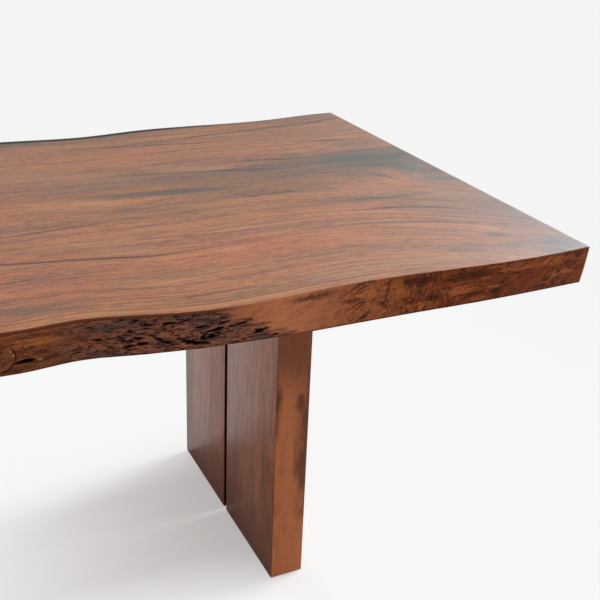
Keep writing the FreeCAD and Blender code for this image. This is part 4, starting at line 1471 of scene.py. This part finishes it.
def plank_edge(wood, place, x, z, fine):
    """The colour of the narrow faces."""
    cloudy = wood.noise(wood.stretch(place, (40.0, 40.0, 6.0), (2.0, 0.0, 5.0)), detail=4.0, rough=0.6)
    silk = wood.noise(wood.stretch(place, (24.0, 24.0, 150.0)), detail=3.0, rough=0.6)
    edge = wood.ramp(cloudy, (0.35, PLANK_ORANGE), (0.60, PLANK_ORANGE), (0.80, PLANK_MID))
    edge = wood.blend(wood.times(wood.fade(silk, 0.50, 0.75), 0.40), edge, PLANK_MID)
    drift = wood.times(wood.centred(cloudy), BAND_DRIFT)
    torn = wood.noise(wood.stretch(place, (70.0, 70.0, 22.0), (0.0, 0.0, 3.0)), detail=5.0, rough=0.7)
    out = wood.add(wood.less(wood.size(x), LEG_MIDDLE), drift)
    spot = wood.join(out, wood.add(z, wood.times(drift, 2.0)))
    ragged = wood.times(wood.less(torn, 0.62), 1.6)
    smudges = wood.times(plank_marks(wood, spot, SMUDGES, ragged), 0.80)
    # The top of the narrow face, right under the slab, is darker: painted shade under the overhang.
    level = wood.add(z, wood.times(ragged, 0.05), wood.times(out, 0.6))
    shade_under_slab = wood.times(wood.fade(level, 0.38, 0.50), 0.62)
    edge = wood.blend(wood.most(smudges, shade_under_slab), edge, PLANK_DARK)
    return wood.blend(wood.times(wood.fade(fine, 0.48, 0.75), 0.35), edge, PLANK_DARK)


print("middle of the right leg", round(LEG_MIDDLE, 3), "m from the middle of the table")

# %% [markdown]
# ## The whole plank
#
# The way a face points decides which colour it gets. The eased arrises between them are darker, and the
# faces in the narrow gap between the two planks of a leg are painted nearly black, as painted shade.

# %% Plank wood
PLANK_ROUGHNESS = 0.28
EDGE_DULLNESS = 0.44
PLANK_PORE_DEPTH = 0.0003
GAP_START, GAP_FULL = 0.0075, 0.0062


def plank_wood():
    """The material of the leg planks."""
    wood = Finish("leg_wood")
    place = wood.place()
    x, y, z = wood.split(place)
    sway = wood.centred(wood.noise(wood.stretch(place, (4.0, 4.0, 2.4)), detail=3.0))
    across = wood.add(y, wood.times(x, GRAIN_SLANT), wood.times(sway, GRAIN_SWAY))
    growth = wood.join(across, z, wood.times(x, 0.4))
    broad = wood.noise(wood.stretch(growth, (14.0, 1.2, 10.0)), detail=3.0, rough=0.55)
    medium = wood.noise(wood.stretch(growth, (48.0, 2.2, 20.0)), detail=5.0, rough=0.74)
    fine = wood.noise(wood.stretch(growth, (260.0, 14.0, 60.0)), detail=3.0, rough=0.65)
    face = plank_face(wood, y, z, broad, medium, fine)
    edge = plank_edge(wood, place, x, z, fine)
    turned = wood.size(wood.split(wood.node("NewGeometry").outputs["Normal"])[1])
    shade = wood.blend(wood.fade(turned, 0.55, 0.85), face, edge)
    arris = wood.times(wood.fade(turned, 0.10, 0.45), wood.fade(turned, 0.98, 0.75))
    shade = wood.blend(wood.times(arris, 0.45), shade, PLANK_DARK)
    # The faces inside the gap between the two planks are painted nearly black: painted shade.
    gap_shade = wood.times(wood.fade(wood.size(y), GAP_START, GAP_FULL), wood.fade(turned, 0.55, 0.85))
    shade = wood.blend(gap_shade, shade, GAP_SHADE_BLACK)
    height = wood.add(fine, wood.times(medium, 0.5))
    rough = wood.add(PLANK_ROUGHNESS, wood.times(medium, 0.12))
    shine = wood.less(TOP_SHINE, wood.times(turned, EDGE_DULLNESS))
    return wood.surface(Base_Color=shade, Roughness=rough, Normal=wood.bump(height, PLANK_PORE_DEPTH),
                        IOR=WOOD_IOR, Specular_IOR_Level=shine)


leg_wood = plank_wood()
print("plank wood:", len(leg_wood.node_tree.nodes), "nodes")

# %% [markdown]
# ## The leg planks
#
# Each plank is a sawn and planed board with its arrises eased by hand. A plain box has edges that no
# light catches, so a box is bevelled along all its edges except the upper ones, which are tight against
# the slab.

# %% Leg planks
PLANK_ARRIS = 0.0028
ARRIS_STEPS = 3
PLANKS = [f"{leg}_leg_{place}_plank" for leg in ("left", "right") for place in ("front", "rear")]


def plank(node):
    """A board in place of one solid plank."""
    low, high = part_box(node)
    board = bmesh.new()
    bmesh.ops.create_cube(board, size=1.0)
    bmesh.ops.scale(board, vec=high - low, verts=board.verts)
    bmesh.ops.translate(board, vec=(low + high) / 2, verts=board.verts)
    upper = high.z - PLANK_ARRIS
    free = [edge for edge in board.edges if min(vertex.co.z for vertex in edge.verts) < upper]
    bmesh.ops.bevel(board, geom=free, offset=PLANK_ARRIS, segments=ARRIS_STEPS, profile=0.5,
                    affect="EDGES", material=-1)
    soften(board)
    made = new_object(f"{node}_board", board, leg_wood)
    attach(made, "root")
    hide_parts(node)
    return made


boards = [plank(node) for node in PLANKS]
print("planks:", [board.name for board in boards])

# %% [markdown]
# ## Steel, brass and plastic under the top
#
# The hardware is seen only from below. Its solids already have the right shape, so they keep it and get a
# finish: black powder coat with its fine orange peel, zinc with a faint mottle, plain brass, moulded
# plastic and the beech of the dowels.

# %% Hardware finishes
def powder_coat():
    """Black powder coat on plates and channels."""
    paint = Finish("black_steel")
    peel = paint.noise(paint.place(), scale=900.0, detail=2.0)
    shade = paint.ramp(peel, (0.3, colour(0.012, 0.012, 0.012)), (0.7, colour(0.024, 0.024, 0.025)))
    gloss = paint.add(0.45, paint.times(peel, 0.15))
    return paint.surface(Base_Color=shade, Roughness=gloss, Normal=paint.bump(peel, 0.0001))


def plated(name, light, dark, rough):
    """Metal with a faint mottle."""
    metal = Finish(name)
    mottle = metal.noise(metal.place(), scale=220.0, detail=3.0)
    shade = metal.blend(mottle, light, dark)
    gloss = metal.add(rough, metal.times(mottle, 0.18))
    return metal.surface(Base_Color=shade, Roughness=gloss, Metallic=1.0)


def moulded():
    """Dark plastic with a fine moulded grain."""
    plastic = Finish("glide_plastic")
    grain = plastic.noise(plastic.place(), scale=1400.0, detail=2.0)
    shade = plastic.ramp(grain, (0.3, colour(0.020, 0.017, 0.016)), (0.7, colour(0.034, 0.030, 0.028)))
    return plastic.surface(Base_Color=shade, Roughness=0.55, Normal=plastic.bump(grain, 0.0001))


def dowel_finish():
    """Pale beech with its lines along the dowel."""
    beech = Finish("dowel_wood")
    lines = beech.noise(beech.stretch(beech.place(), (500.0, 12.0, 500.0)), detail=3.0)
    shade = beech.ramp(lines, (0.3, colour(0.30, 0.17, 0.08)), (0.7, colour(0.42, 0.26, 0.13)))
    return beech.surface(Base_Color=shade, Roughness=0.7, Normal=beech.bump(lines, 0.0002))


HARDWARE_FINISHES = {
    "black_steel": powder_coat(),
    "zinc_steel": plated("zinc_steel", colour(0.62, 0.62, 0.60), colour(0.42, 0.43, 0.44), 0.28),
    "brass": plated("brass", colour(0.72, 0.53, 0.24), colour(0.55, 0.37, 0.14), 0.25),
    "glide_plastic": moulded(),
    "dowel_wood": dowel_finish(),
}
dressed = 0
for entry in frame["record"]["subparts"]:
    finish = HARDWARE_FINISHES.get(entry["material_slot"])
    if finish:
        mesh = frame["nodes"][entry["node"]].data
        mesh.materials.clear()
        mesh.materials.append(finish)
        dressed += 1
print("hardware nodes with a finish:", dressed)

# %% [markdown]
